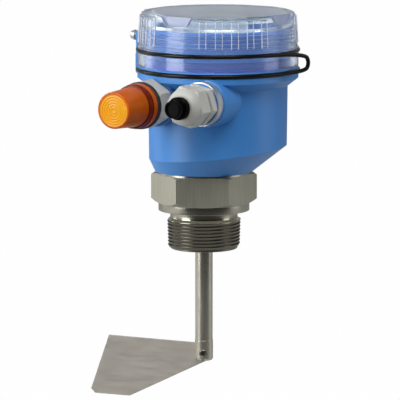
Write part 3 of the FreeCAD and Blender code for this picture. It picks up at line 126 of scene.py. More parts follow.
class Graph:
    """A node tree with short calls that add and join nodes."""

    def __init__(self, tree: bpy.types.NodeTree) -> None:
        """Keep the tree that the calls work on.

        Args:
            tree: Shader or geometry node tree to fill.
        """
        self.tree = tree

    def add(self, kind: str, **settings: object) -> bpy.types.Node:
        """Add a node and set its properties.

        Args:
            kind: Blender's type name of the node.
            **settings: Property names and values of the node.

        Returns:
            The new node.
        """
        node = self.tree.nodes.new(kind)
        for name, value in settings.items():
            setattr(node, name, value)
        return node

    def join(self, source: bpy.types.NodeSocket, target: bpy.types.NodeSocket) -> None:
        """Link an output to an input."""
        self.tree.links.new(source, target)

    def feed(self, target: bpy.types.NodeSocket, value: object) -> None:
        """Give an input a value, or link it if the value is a socket.

        Args:
            target: Input socket.
            value: Output socket, number, or tuple of numbers.
        """
        if isinstance(value, bpy.types.NodeSocket):
            self.join(value, target)
        else:
            target.default_value = value

    def maths(self, operation: str, first: object, second: object = 0.0) -> bpy.types.NodeSocket:
        """Add a Math node.

        Args:
            operation: Blender's name of the operation.
            first: First operand, a socket or a number.
            second: Second operand, a socket or a number.

        Returns:
            The node's output.
        """
        node = self.add("ShaderNodeMath", operation=operation)
        self.feed(node.inputs[0], first)
        self.feed(node.inputs[1], second)
        return node.outputs[0]

    def noise(self, vector: bpy.types.NodeSocket, scale: object, detail: float = 2.0) -> bpy.types.NodeSocket:
        """Add a noise texture.

        Args:
            vector: Coordinates that the noise reads.
            scale: Its scale, a socket or a number.
            detail: Its octaves.

        Returns:
            The noise's value.
        """
        node = self.add("ShaderNodeTexNoise")
        self.join(vector, node.inputs["Vector"])
        self.feed(node.inputs["Scale"], scale)
        node.inputs["Detail"].default_value = detail
        return node.outputs[0]

    def spread(self, value: bpy.types.NodeSocket, low: object, high: object,
               source: Pair = (0.3, 0.7)) -> bpy.types.NodeSocket:
        """Map a value to a new range, clamped.

        Args:
            value: Value to map.
            low: Result at the source range's lower end.
            high: Result at its upper end.
            source: Range of the value that is used.

        Returns:
            The mapped value.
        """
        node = self.add("ShaderNodeMapRange")
        self.join(value, node.inputs[0])
        node.inputs[1].default_value, node.inputs[2].default_value = source
        self.feed(node.inputs[3], low)
        self.feed(node.inputs[4], high)
        return node.outputs[0]

    def tint(self, factor: bpy.types.NodeSocket, first: object, second: object) -> bpy.types.NodeSocket:
        """Mix two colours.

        Args:
            factor: Share of the second colour.
            first: Colour or colour output.
            second: Colour or colour output.

        Returns:
            The mixed colour.
        """
        node = self.add("ShaderNodeMix", data_type="RGBA")
        self.join(factor, node.inputs[0])
        for socket, colour in ((node.inputs[6], first), (node.inputs[7], second)):
            self.feed(socket, colour if isinstance(colour, bpy.types.NodeSocket) else (*colour, 1.0))
        return node.outputs[2]

    def seen(self) -> bpy.types.NodeSocket:
        """Mask of the rays from the camera, straight or through something clear."""
        path = self.add("ShaderNodeLightPath")
        return self.maths("MAXIMUM", path.outputs["Is Camera Ray"], path.outputs["Is Transmission Ray"])


class SurfaceGroup(Enum):
    """Shader node groups that several finishes share."""

    MOULDED_SKIN = "moulded_skin"
    TOOL_MARKS = "tool_marks"
    SOFT_EDGES = "soft_edges"

    def tree(self) -> bpy.types.NodeTree:
        """The group's node tree, built the first time it is asked for."""
        made = bpy.data.node_groups.get(self.value)
        return made or GROUP_BUILDERS[self](self.value)


def new_group(name: str, inputs: Iterable[tuple[str, str]], outputs: Iterable[tuple[str, str]],
              kind: str = "ShaderNodeTree") -> tuple[Graph, bpy.types.Node, bpy.types.Node]:
    """Start a node group with its sockets.

    Args:
        name: Group's name.
        inputs: Names and socket types of its inputs.
        outputs: Names and socket types of its outputs.
        kind: Type of the tree.

    Returns:
        The graph, its input node and its output node.
    """
    tree = bpy.data.node_groups.new(name, kind)
    for label, socket in inputs:
        tree.interface.new_socket(label, in_out="INPUT", socket_type=socket)
    for label, socket in outputs:
        tree.interface.new_socket(label, in_out="OUTPUT", socket_type=socket)
    graph = Graph(tree)
    return graph, graph.add("NodeGroupInput"), graph.add("NodeGroupOutput")


def moulded_skin(name: str) -> bpy.types.NodeTree:
    """Fine grain and soft cloudiness of moulded plastic or rubber.

    Args:
        name: Group's name.

    Returns:
        The group's tree.
    """
    graph, given, result = new_group(
        name,
        [("Vector", "NodeSocketVector"), ("Grain Scale", "NodeSocketFloat"),
         ("Cloud Scale", "NodeSocketFloat")],
        [("Tone", "NodeSocketFloat"), ("Height", "NodeSocketFloat")])
    clouds = graph.noise(given.outputs["Vector"], given.outputs["Cloud Scale"], 3.0)
    grain = graph.noise(given.outputs["Vector"], given.outputs["Grain Scale"], 2.0)
    graph.join(graph.spread(clouds, 0.0, 1.0), result.inputs["Tone"])
    graph.join(grain, result.inputs["Height"])
    return graph.tree


def tool_marks(name: str) -> bpy.types.NodeTree:
    """Fine parallel marks of brushing, turning or rolling, with broad cloudiness.

    Args:
        name: Group's name.

    Returns:
        The group's tree.
    """
    graph, given, result = new_group(
        name,
        [("Vector", "NodeSocketVector"), ("Marks", "NodeSocketVector"), ("Cloud Scale", "NodeSocketFloat")],
        [("Tone", "NodeSocketFloat"), ("Height", "NodeSocketFloat")])
    stretched = graph.add("ShaderNodeVectorMath", operation="MULTIPLY")
    graph.join(given.outputs["Vector"], stretched.inputs[0])
    graph.join(given.outputs["Marks"], stretched.inputs[1])
    marks = graph.noise(stretched.outputs[0], 1.0, 3.0)
    clouds = graph.noise(given.outputs["Vector"], given.outputs["Cloud Scale"], 2.0)
    mark_share, cloud_share = 0.7, 0.3
    both = graph.maths("ADD", graph.maths("MULTIPLY", marks, mark_share),
                       graph.maths("MULTIPLY", clouds, cloud_share))
    graph.join(graph.spread(both, 0.0, 1.0, (0.35, 0.65)), result.inputs["Tone"])
    graph.join(marks, result.inputs["Height"])
    return graph.tree


def soft_edges(name: str) -> bpy.types.NodeTree:
    """Normals that round a sharp edge, and a mask of where an edge is.

    Args:
        name: Group's name.

    Returns:
        The group's tree.
    """
    graph, _, result = new_group(name, [], [("Normal", "NodeSocketVector"), ("Edge", "NodeSocketFloat")])
    bevel = graph.add("ShaderNodeBevel", samples=6)
    bevel.inputs["Radius"].default_value = EDGE_RADIUS * MM
    geometry = graph.add("ShaderNodeNewGeometry")
    dot = graph.add("ShaderNodeVectorMath", operation="DOT_PRODUCT")
    graph.join(bevel.outputs[0], dot.inputs[0])
    graph.join(geometry.outputs["Normal"], dot.inputs[1])
    graph.join(bevel.outputs[0], result.inputs["Normal"])
    alike = (0.75, 0.99)
    graph.join(graph.spread(dot.outputs["Value"], 1.0, 0.0, alike), result.inputs["Edge"])
    return graph.tree


GROUP_BUILDERS: dict[SurfaceGroup, Callable[[str], bpy.types.NodeTree]] = {
    SurfaceGroup.MOULDED_SKIN: moulded_skin,
    SurfaceGroup.TOOL_MARKS: tool_marks,
    SurfaceGroup.SOFT_EDGES: soft_edges,
}

MARK_SCALES: dict[Pattern, Triple] = {
    Pattern.BRUSHED_UPRIGHT: (1500.0, 1500.0, 40.0),
    Pattern.TURNED: (14.0, 14.0, 2600.0),
    Pattern.ROLLED: (70.0, 70.0, 420.0),
    Pattern.POLISHED: (240.0, 240.0, 240.0),
}


# Finishes


@dataclass(frozen=True)
class Finish:
    """An opaque finish: a colour that varies a little, grain or tool marks, and a painted highlight on its
    edges.
    """

    name: str
    colour: Colour
    shade: Colour
    roughness: Pair
    pattern: Pattern = Pattern.MOULDED
    metallic: float = 0.0
    grain: float = 2600.0
    clouds: float = 28.0
    relief: float = 0.1
    coat: float = 0.0
    # edge: colour painted where the bevel finds an edge, a painted highlight for the light that edges catch
    edge: Colour | None = None
    specular: float = 0.5
    rounded: bool = True

    def material(self) -> bpy.types.Material:
        """The finish's material, built the first time it is asked for.

        Returns:
            The material.
        """
        made = bpy.data.materials.get(self.name)
        if made is not None:
            return made
        made = bpy.data.materials.new(self.name)
        made.use_nodes = True
        made.node_tree.nodes.clear()
        graph = Graph(made.node_tree)
        output = graph.add("ShaderNodeOutputMaterial")
        shader = graph.add("ShaderNodeBsdfPrincipled")
        self.set_constants(shader)
        self.dress(graph, shader)
        graph.join(self.finished(graph, shader.outputs[0]), output.inputs["Surface"])
        made.diffuse_color = (*self.colour, 1.0)
        return made

    def finished(self, graph: Graph, shader: bpy.types.NodeSocket) -> bpy.types.NodeSocket:
        """The shader that the surface shows.

        Args:
            graph: The material's graph.
            shader: Output of the Principled BSDF.

        Returns:
            The socket for the material's surface.
        """
        return shader

    def set_constants(self, shader: bpy.types.Node) -> None:
        """Set what is the same all over the surface.

        Args:
            shader: The material's Principled BSDF.
        """
        shader.inputs["Metallic"].default_value = self.metallic
        shader.inputs["Specular IOR Level"].default_value = self.specular
        shader.inputs["Coat Weight"].default_value = self.coat
        shader.inputs["Coat Roughness"].default_value = COAT_ROUGHNESS

    def surface(self, graph: Graph) -> tuple[bpy.types.NodeSocket, bpy.types.NodeSocket]:
        """Add the group that breaks up the surface.

        Args:
            graph: The material's graph.

        Returns:
            The tone from 0 to 1, and the height for the bump.
        """
        group = graph.add("ShaderNodeGroup")
        moulded = self.pattern is Pattern.MOULDED
        group.node_tree = (SurfaceGroup.MOULDED_SKIN if moulded else SurfaceGroup.TOOL_MARKS).tree()
        place = graph.add("ShaderNodeTexCoord")
        graph.join(place.outputs["Object"], group.inputs["Vector"])
        group.inputs["Cloud Scale"].default_value = self.clouds
        if moulded:
            group.inputs["Grain Scale"].default_value = self.grain
        else:
            group.inputs["Marks"].default_value = MARK_SCALES[self.pattern]
        return group.outputs["Tone"], group.outputs["Height"]

    def dress(self, graph: Graph, shader: bpy.types.Node) -> None:
        """Join the changing colour, roughness and normal to the shader.

        Args:
            graph: The material's graph.
            shader: The material's Principled BSDF.
        """
        tone, height = self.surface(graph)
        colour = graph.tint(tone, self.shade, self.colour)
        bump = graph.add("ShaderNodeBump")
        bump.inputs["Strength"].default_value = self.relief
        bump.inputs["Distance"].default_value = BUMP_DEPTH * MM
        graph.join(height, bump.inputs["Height"])
        if self.rounded:
            edges = graph.add("ShaderNodeGroup")
            edges.node_tree = SurfaceGroup.SOFT_EDGES.tree()
            graph.join(edges.outputs["Normal"], bump.inputs["Normal"])
            # Painted highlight: the edge colour is mixed in along the edges.
            if self.edge is not None:
                colour = graph.tint(edges.outputs["Edge"], colour, self.edge)
        graph.join(colour, shader.inputs["Base Color"])
        graph.join(graph.spread(tone, *self.roughness, (0.0, 1.0)), shader.inputs["Roughness"])
        graph.join(bump.outputs[0], shader.inputs["Normal"])


@dataclass(frozen=True)
class ClearFinish(Finish):
    """A plastic that light passes through, with a slight haze."""

    transmission: float = 0.9
    ior: float = 1.5
    passed: float = 0.5

    def set_constants(self, shader: bpy.types.Node) -> None:
        """Set what is the same all over the surface, the passing of light too.

        Args:
            shader: The material's Principled BSDF.
        """
        super().set_constants(shader)
        shader.inputs["Transmission Weight"].default_value = self.transmission
        shader.inputs["IOR"].default_value = self.ior

    def finished(self, graph: Graph, shader: bpy.types.NodeSocket) -> bpy.types.NodeSocket:
        """The shader that the surface shows, which lets the lamps light what is behind it.

        Args:
            graph: The material's graph.
            shader: Output of the Principled BSDF.

        Returns:
            The socket for the material's surface.
        """
        clear = graph.add("ShaderNodeBsdfTransparent")
        clear.inputs["Color"].default_value = (*self.colour, 1.0)
        path = graph.add("ShaderNodeLightPath")
        mix = graph.add("ShaderNodeMixShader")
        graph.join(graph.maths("MULTIPLY", path.outputs["Is Shadow Ray"], self.passed), mix.inputs[0])
        graph.join(shader, mix.inputs[1])
        graph.join(clear.outputs[0], mix.inputs[2])
        return mix.outputs[0]


# The edge colours of the finishes below are painted highlights on the pieces' edges.
HEX_STEEL = Finish("brushed_steel", (0.46, 0.455, 0.37), (0.36, 0.355, 0.285), (0.38, 0.5),
                   Pattern.BRUSHED_UPRIGHT, 0.72, relief=0.1, edge=(0.6, 0.59, 0.5))
TURNED_STEEL = Finish("turned_steel", (0.52, 0.505, 0.42), (0.45, 0.435, 0.36), (0.14, 0.22),
                      Pattern.TURNED, 1.0, relief=0.05, rounded=False)
THREAD_STEEL = Finish("threaded_steel", (0.22, 0.21, 0.17), (0.15, 0.145, 0.115), (0.28, 0.38),
                      Pattern.TURNED, 1.0, relief=0.05, rounded=False)
SHAFT_STEEL = Finish("drawn_steel", (0.62, 0.6, 0.51), (0.53, 0.51, 0.43), (0.18, 0.26),
                     Pattern.BRUSHED_UPRIGHT, 0.88, relief=0.05, edge=(0.6, 0.58, 0.5))
PADDLE_STEEL = Finish("rolled_sheet", (0.56, 0.53, 0.475), (0.50, 0.47, 0.42), (0.5, 0.64),
                      Pattern.ROLLED, 0.75, clouds=60.0, relief=0.2, edge=(0.62, 0.6, 0.56))
BEARING_STEEL = Finish("ground_steel", (0.6, 0.6, 0.59), (0.5, 0.5, 0.5), (0.2, 0.3), Pattern.TURNED, 1.0)
BRIGHT_METAL = Finish("bright_metal", (0.62, 0.61, 0.58), (0.52, 0.51, 0.49), (0.12, 0.2),
                      Pattern.POLISHED, 1.0, relief=0.05)
DRIVE_METAL = Finish("pressed_metal", (0.62, 0.62, 0.6), (0.52, 0.52, 0.5), (0.3, 0.42), Pattern.ROLLED, 1.0)
BRASS = Finish("machined_brass", (0.66, 0.48, 0.2), (0.55, 0.39, 0.15), (0.24, 0.34), Pattern.TURNED, 1.0)
HOUSING_BLUE = Finish("satin_blue_plastic", (0.055, 0.245, 0.64), (0.047, 0.225, 0.6), (0.36, 0.44),
                      clouds=14.0, relief=0.14, edge=(0.11, 0.33, 0.74))
NECK_BLUE = Finish("thread_blue_plastic", (0.06, 0.25, 0.66), (0.05, 0.22, 0.62), (0.2, 0.28), rounded=False)
CORD_BLACK = Finish("cord_rubber_black", (0.006, 0.006, 0.007), (0.004, 0.004, 0.004), (0.22, 0.3),
                    grain=1800.0, relief=0.06, specular=0.2, rounded=False)
SEAL_BLACK = Finish("seal_rubber_black", (0.025, 0.025, 0.026), (0.016, 0.016, 0.017), (0.55, 0.7),
                    relief=0.2)
GLAND_GREY = Finish("grey_nylon", (0.52, 0.525, 0.49), (0.47, 0.475, 0.44), (0.38, 0.48), clouds=40.0,
                    relief=0.1, edge=(0.68, 0.69, 0.68))
LAMP_GREY = Finish("blue_grey_plastic", (0.63, 0.62, 0.57), (0.575, 0.565, 0.52), (0.3, 0.4), clouds=40.0,
                   relief=0.08, edge=(0.56, 0.57, 0.57))
PLUG_BLACK = Finish("glossy_black_plastic", (0.003, 0.003, 0.003), (0.002, 0.002, 0.002), (0.25, 0.35),
                    relief=0.06, specular=0.03)
BOARD_GREEN = Finish("board_laminate", (0.02, 0.19, 0.07), (0.015, 0.15, 0.055), (0.3, 0.42), clouds=120.0)
TERMINAL_GREEN = Finish("green_terminal_plastic", (0.05, 0.36, 0.12), (0.04, 0.31, 0.1), (0.34, 0.44))
CHASSIS_WHITE = Finish("pale_grey_plastic", (0.62, 0.63, 0.61), (0.56, 0.57, 0.56), (0.4, 0.5))
GEAR_WHITE = Finish("natural_acetal", (0.74, 0.73, 0.69), (0.68, 0.67, 0.63), (0.32, 0.42))
CHIP_BLACK = Finish("chip_epoxy", (0.02, 0.02, 0.022), (0.015, 0.015, 0.016), (0.45, 0.55), rounded=False)
COVER_CLEAR = ClearFinish("clear_polycarbonate", (0.765, 0.85, 0.96), (0.725, 0.815, 0.945), (0.1, 0.15),
                          relief=0.02, clouds=16.0, transmission=0.95, ior=1.4, passed=0.35)
# Painted highlight: near-white strips on the ribs' edges stand for the light that the edges catch.
RIB_EDGE_HIGHLIGHT = ClearFinish("rib_edge_painted_highlight", (0.95, 0.96, 1.0), (0.92, 0.93, 0.98), (0.3, 0.4),
                          clouds=60.0, transmission=0.15, ior=1.4, rounded=False)
THREAD_FROST = ClearFinish("cover_thread_polycarbonate", (0.5, 0.66, 0.92), (0.44, 0.6, 0.88), (0.25, 0.35),
                           clouds=60.0, transmission=0.6, ior=1.4, rounded=False)
NOTCH_FROST = ClearFinish("notch_polycarbonate", (0.62, 0.66, 0.8), (0.56, 0.6, 0.76), (0.3, 0.4),
                          clouds=60.0, transmission=0.6, ior=1.4, rounded=False)
LENS_AMBER = ClearFinish("amber_lens", (0.8, 0.18, 0.001), (0.64, 0.132, 0.001), (0.08, 0.14),
                         clouds=40.0, specular=0.1, transmission=0.42, ior=1.4, rounded=False)
# Painted shade: a darker copy of the amber for the band at the lens's step, where shade falls between the
# flange and the wall.
LENS_FOOT_PAINTED_SHADE = ClearFinish("amber_lens_foot_painted_shade", (0.2, 0.022, 0.001), (0.14, 0.014, 0.001), (0.1, 0.18),
                        clouds=40.0, specular=0.1, transmission=0.5, ior=1.4, rounded=False)
# Painted light: a lighter, yellower copy of the amber for the ringed face, for the light scattered through
# it.
LENS_FACE_PAINTED_LIGHT = ClearFinish("amber_lens_face_painted_light", (0.88, 0.43, 0.022), (0.86, 0.37, 0.014), (0.2, 0.28), relief=0.0,
                        clouds=90.0, specular=0.2, transmission=0.15, ior=1.4, rounded=False)
GASKET_BLUE = Finish("blue_silicone", (0.01, 0.07, 0.5), (0.008, 0.055, 0.42), (0.4, 0.5), rounded=False)
BAND_BLUE = Finish("neck_band_blue", (0.008, 0.09, 0.42), (0.006, 0.07, 0.36), (0.35, 0.45), rounded=False)
LED_CLEAR = ClearFinish("clear_epoxy", (0.9, 0.9, 0.86), (0.86, 0.86, 0.82), (0.08, 0.14), transmission=0.8)

NODE_FINISHES: dict[str, Finish] = {
    "lower_bearing": BEARING_STEEL, "upper_bearing": BEARING_STEEL, "thrust_ring": BEARING_STEEL,
    "shaft_circlip": BEARING_STEEL, "neck_nut": BEARING_STEEL, "shaft_seal": SEAL_BLACK,
    "neck_seal": SEAL_BLACK, "cover_gasket": GASKET_BLUE, "gland_insert": SEAL_BLACK,
    "output_shaft": SHAFT_STEEL, "paddle_fork": SHAFT_STEEL, "paddle_pin": THREAD_STEEL,
    "paddle_blade": PADDLE_STEEL, "housing_shell": HOUSING_BLUE, "lock_screw": BRIGHT_METAL,
    "lock_washer": BRIGHT_METAL, "cover": COVER_CLEAR, "entry_ring": BRIGHT_METAL,
    "gland_body": GLAND_GREY, "gland_cap_nut": GLAND_GREY, "gland_plug": PLUG_BLACK,
    "lamp_body": LAMP_GREY, "lamp_gasket": SEAL_BLACK, "lamp_board": BOARD_GREEN, "lamp_leds": LED_CLEAR,
    "chassis_plate": CHASSIS_WHITE, "motor_carrier": DRIVE_METAL, "gearbox": GEAR_WHITE,
    "motor_can": DRIVE_METAL, "gearbox_output": BRASS, "shaft_coupling": BRASS,
    "microswitches": CHIP_BLACK, "return_spring": BRIGHT_METAL, "board_standoffs": BRASS,
    "circuit_board": BOARD_GREEN, "board_screws": BRIGHT_METAL, "power_terminals": CHASSIS_WHITE,
    "terminal_screws": BRIGHT_METAL, "signal_terminals": TERMINAL_GREEN, "relay": CHASSIS_WHITE,
    "status_led": LED_CLEAR,
}


# Mesh making


def soften(outline: Sequence[Triple], steps: int = 4) -> list[Pair]:
    """Round the corners of a closed outline.

    Args:
        outline: Corners as (radius, height, rounding); a rounding of 0 keeps the corner.
        steps: Points on each rounded corner, less one.

    Returns:
        The outline's points as (radius, height).
    """
    points: list[Pair] = []
    count = len(outline)
    for index, (radius, height, rounding) in enumerate(outline):
        here = Vector((radius, height))
        before = Vector(outline[index - 1][:2]) - here
        after = Vector(outline[(index + 1) % count][:2]) - here
        if rounding <= 0 or min(before.length, after.length) < MERGE_DISTANCE:
            points.append((radius, height))
            continue
        most = 0.48 * min(before.length, after.length)
        trim = min(rounding / math.tan(before.angle(after) / 2), most)
        first, last = here + before.normalized() * trim, here + after.normalized() * trim
        for step in range(steps + 1):
            share = step / steps
            curve = first * (1 - share) ** 2 + here * 2 * share * (1 - share) + last * share ** 2
            points.append((curve.x, curve.y))
    return points


def mesh_of_columns(name: str, columns: Sequence[Sequence[Triple]], closed: bool = True) -> bpy.types.Mesh:
    """Skin columns of points round an axis, or along a path.

    Args:
        name: Mesh's name.
        columns: Rows of the same number of points, in millimetres, one row for each column; each is a loop.
        closed: Whether the last column joins the first; otherwise both ends are capped.

    Returns:
        The mesh, in metres, with its doubles merged and its faces outwards.
    """
    form = bmesh.new()
    rows = [[form.verts.new(Vector(point) * MM) for point in column] for column in columns]
    count = len(rows)
    for index in range(count if closed else count - 1):
        here, there = rows[index], rows[(index + 1) % count]
        for place in range(len(here)):
            following = (place + 1) % len(here)
            form.faces.new((here[place], there[place], there[following], here[following]))
    if not closed:
        form.faces.new(rows[0])
        form.faces.new(rows[-1])
    bmesh.ops.remove_doubles(form, verts=form.verts, dist=MERGE_DISTANCE * MM)
    bmesh.ops.dissolve_degenerate(form, edges=form.edges, dist=MERGE_DISTANCE * MM)
    bmesh.ops.recalc_face_normals(form, faces=form.faces)
    mesh = bpy.data.meshes.new(name)
    form.to_mesh(mesh)
    form.free()
    return mesh


def revolve(name: str, outline: Sequence[Pair], steps: int = 96) -> bpy.types.Mesh:
    """Turn a closed outline about the Z axis.

    Args:
        name: Mesh's name.
        outline: Closed outline as (radius, height); points on the axis close the piece.
        steps: Columns round the axis.

    Returns:
        The mesh.
    """
    columns = []
    for step in range(steps):
        angle = math.tau * step / steps
        columns.append([(r * math.cos(angle), r * math.sin(angle), h) for r, h in outline])
    return mesh_of_columns(name, columns)


def smooth(mesh: bpy.types.Mesh, angle: float = 30.0) -> None:
    """Shade a mesh smooth but for edges sharper than an angle.

    Args:
        mesh: Mesh to shade.
        angle: Angle in degrees.
    """
    mesh.shade_smooth()
    mesh.set_sharp_from_angle(angle=math.radians(angle))


def share_out(mesh: bpy.types.Mesh, finishes: Sequence[Finish], chosen: Callable[[Vector], Finish]) -> None:
    """Give each face the material slot of the finish chosen for its place.

    Args:
        mesh: Mesh whose slots are in the order of the finishes.
        finishes: Finishes of the slots.
        chosen: Gives the finish at a face's middle.
    """
    for face in mesh.polygons:
        face.material_index = finishes.index(chosen(face.center))


def publish(mesh: bpy.types.Mesh, name: str, body: Body | None, finishes: Sequence[Finish] = (),
            replaces: Sequence[str] = ()) -> bpy.types.Object:
    """Make a piece of the object: link it, dress it and let it ride on its body, if it has one.

    Args:
        mesh: Mesh in metres, in its place.
        name: Piece's name.
        body: Body that it rides on, or None for a piece that rides on no body.
        finishes: Finishes of its material slots.
        replaces: CAD nodes that it stands for.

    Returns:
        The piece.
    """
    piece = bpy.data.objects.new(name, mesh)
    bpy.context.scene.collection.objects.link(piece)
    for finish in finishes:
        mesh.materials.append(finish.material())
    if body:
        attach(piece, body.value)
    if replaces:
        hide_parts(*replaces)
    log.info("piece %s: %s", name, body.value if body else "blends between two bodies")
    return piece


# Geometry Nodes


class GeometryTree(Enum):
    """Geometry node trees for what repeats or follows a path."""

    SPIRAL_RIDGE = "spiral_ridge"
    RIB_RING = "rib_ring"
    PART_ROWS = "part_rows"

    def tree(self) -> bpy.types.NodeTree:
        """The tree, built the first time it is asked for."""
        made = bpy.data.node_groups.get(self.value)
        return made or TREE_BUILDERS[self](self.value)


def finish_tree(graph: Graph, geometry: bpy.types.NodeSocket, given: bpy.types.Node,
                result: bpy.types.Node) -> None:
    """End a geometry tree in Realize Instances and Set Material.

    Args:
        graph: The tree's graph.
        geometry: What the tree has made.
        given: The tree's input node, with its Finish input.
        result: The tree's output node.
    """
    realise = graph.add("GeometryNodeRealizeInstances")
    dressed = graph.add("GeometryNodeSetMaterial")
    graph.join(geometry, realise.inputs[0])
    graph.join(realise.outputs[0], dressed.inputs["Geometry"])
    graph.join(given.outputs["Finish"], dressed.inputs["Material"])
    graph.join(dressed.outputs[0], result.inputs["Geometry"])


def spiral_ridge(name: str) -> bpy.types.NodeTree:
    """A thread's ridge: a four-sided section swept along a spiral that may taper.

    Args:
        name: Tree's name.

    Returns:
        The tree.
    """
    number = "NodeSocketFloat"
    graph, given, result = new_group(
        name,
        [("Turns", number), ("Low Radius", number), ("High Radius", number), ("Length", number),
         ("Ridge Width", number), ("Ridge Crest", number), ("Ridge Depth", number),
         ("Steps", "NodeSocketInt"), ("Finish", "NodeSocketMaterial")],
        [("Geometry", "NodeSocketGeometry")], "GeometryNodeTree")
    spiral = graph.add("GeometryNodeCurveSpiral")
    for target, source in (("Resolution", "Steps"), ("Rotations", "Turns"), ("Start Radius", "Low Radius"),
                           ("End Radius", "High Radius"), ("Height", "Length")):
        graph.join(given.outputs[source], spiral.inputs[target])
    spiral.inputs["Reverse"].default_value = True
    upright = graph.add("GeometryNodeSetCurveNormal", mode="Z_UP")
    graph.join(spiral.outputs[0], upright.inputs["Curve"])
    section = graph.add("GeometryNodeCurvePrimitiveQuadrilateral", mode="TRAPEZOID")
    graph.join(given.outputs["Ridge Width"], section.inputs["Bottom Width"])
    graph.join(given.outputs["Ridge Crest"], section.inputs["Top Width"])
    graph.join(given.outputs["Ridge Depth"], section.inputs["Height"])
    section.inputs["Offset"].default_value = 0.0
    sweep = graph.add("GeometryNodeCurveToMesh")
    graph.join(upright.outputs[0], sweep.inputs["Curve"])
    graph.join(section.outputs[0], sweep.inputs["Profile Curve"])
    sweep.inputs["Fill Caps"].default_value = True
    finish_tree(graph, sweep.outputs[0], given, result)
    return graph.tree


def rib_ring(name: str) -> bpy.types.NodeTree:
    """Ribs of one size round the Z axis, in groups, each leaning inwards by a draft angle.

    Args:
        name: Tree's name.

    Returns:
        The tree.
    """
    number, whole = "NodeSocketFloat", "NodeSocketInt"
    graph, given, result = new_group(
        name,
        [("Count", whole), ("Group Size", whole), ("Group Pitch", number), ("Rib Pitch", number),
         ("Start", number), ("Radius", number), ("Rib Depth", number), ("Rib Width", number),
         ("Rib Height", number), ("Draft", number), ("Finish", "NodeSocketMaterial")],
        [("Geometry", "NodeSocketGeometry")], "GeometryNodeTree")
    index = graph.add("GeometryNodeInputIndex").outputs[0]
    group = graph.maths("FLOOR", graph.maths("DIVIDE", index, given.outputs["Group Size"]))
    within = graph.maths("SUBTRACT", index, graph.maths("MULTIPLY", group, given.outputs["Group Size"]))
    angle = graph.maths("ADD", graph.maths("MULTIPLY", group, given.outputs["Group Pitch"]),
                        graph.maths("MULTIPLY", within, given.outputs["Rib Pitch"]))
    angle = graph.maths("ADD", angle, given.outputs["Start"])
    place = graph.add("ShaderNodeCombineXYZ")
    for target, operation in enumerate(("COSINE", "SINE")):
        graph.join(graph.maths("MULTIPLY", graph.maths(operation, angle), given.outputs["Radius"]),
                   place.inputs[target])
    points = graph.add("GeometryNodePoints")
    graph.join(given.outputs["Count"], points.inputs["Count"])
    graph.join(place.outputs[0], points.inputs["Position"])
    size = graph.add("ShaderNodeCombineXYZ")
    for target, source in enumerate(("Rib Depth", "Rib Width", "Rib Height")):
        graph.join(given.outputs[source], size.inputs[target])
    rib = graph.add("GeometryNodeMeshCube")
    graph.join(size.outputs[0], rib.inputs["Size"])
    turn = graph.add("ShaderNodeCombineXYZ")
    graph.join(given.outputs["Draft"], turn.inputs[1])
    graph.join(angle, turn.inputs[2])
    facing = graph.add("FunctionNodeEulerToRotation")
    graph.join(turn.outputs[0], facing.inputs[0])
    spread = graph.add("GeometryNodeInstanceOnPoints")
    graph.join(points.outputs[0], spread.inputs["Points"])
    graph.join(rib.outputs[0], spread.inputs["Instance"])
    graph.join(facing.outputs[0], spread.inputs["Rotation"])
    finish_tree(graph, spread.outputs[0], given, result)
    return graph.tree


def part_rows(name: str) -> bpy.types.NodeTree:
    """Small block-shaped electronic parts on a grid, each of its own size, some left out.

    Args:
        name: Tree's name.

    Returns:
        The tree.
    """
    number = "NodeSocketFloat"
    graph, given, result = new_group(
        name,
        [("Width", number), ("Depth", number), ("Columns", "NodeSocketInt"), ("Rows", "NodeSocketInt"),
         ("Part Size", "NodeSocketVector"), ("Seed", "NodeSocketInt"), ("Finish", "NodeSocketMaterial")],
        [("Geometry", "NodeSocketGeometry")], "GeometryNodeTree")
    grid = graph.add("GeometryNodeMeshGrid")
    for target, source in (("Size X", "Width"), ("Size Y", "Depth"), ("Vertices X", "Columns"),
                           ("Vertices Y", "Rows")):
        graph.join(given.outputs[source], grid.inputs[target])
    part = graph.add("GeometryNodeMeshCube")
    graph.join(given.outputs["Part Size"], part.inputs["Size"])
    kept = graph.add("FunctionNodeRandomValue", data_type="BOOLEAN")
    share_kept = 0.65
    kept.inputs["Probability"].default_value = share_kept
    graph.join(given.outputs["Seed"], kept.inputs["Seed"])
    sizes = graph.add("FunctionNodeRandomValue", data_type="FLOAT_VECTOR")
    least, most = (0.7, 0.7, 0.8), (1.4, 1.3, 1.2)
    sizes.inputs[0].default_value = least
    sizes.inputs[1].default_value = most
    graph.join(given.outputs["Seed"], sizes.inputs["Seed"])
    spread = graph.add("GeometryNodeInstanceOnPoints")
    graph.join(grid.outputs[0], spread.inputs["Points"])
    graph.join(part.outputs[0], spread.inputs["Instance"])
    graph.join(kept.outputs[3], spread.inputs["Selection"])
    graph.join(sizes.outputs[0], spread.inputs["Scale"])
    finish_tree(graph, spread.outputs[0], given, result)
    return graph.tree


TREE_BUILDERS: dict[GeometryTree, Callable[[str], bpy.types.NodeTree]] = {
    GeometryTree.SPIRAL_RIDGE: spiral_ridge,
    GeometryTree.RIB_RING: rib_ring,
    GeometryTree.PART_ROWS: part_rows,
}


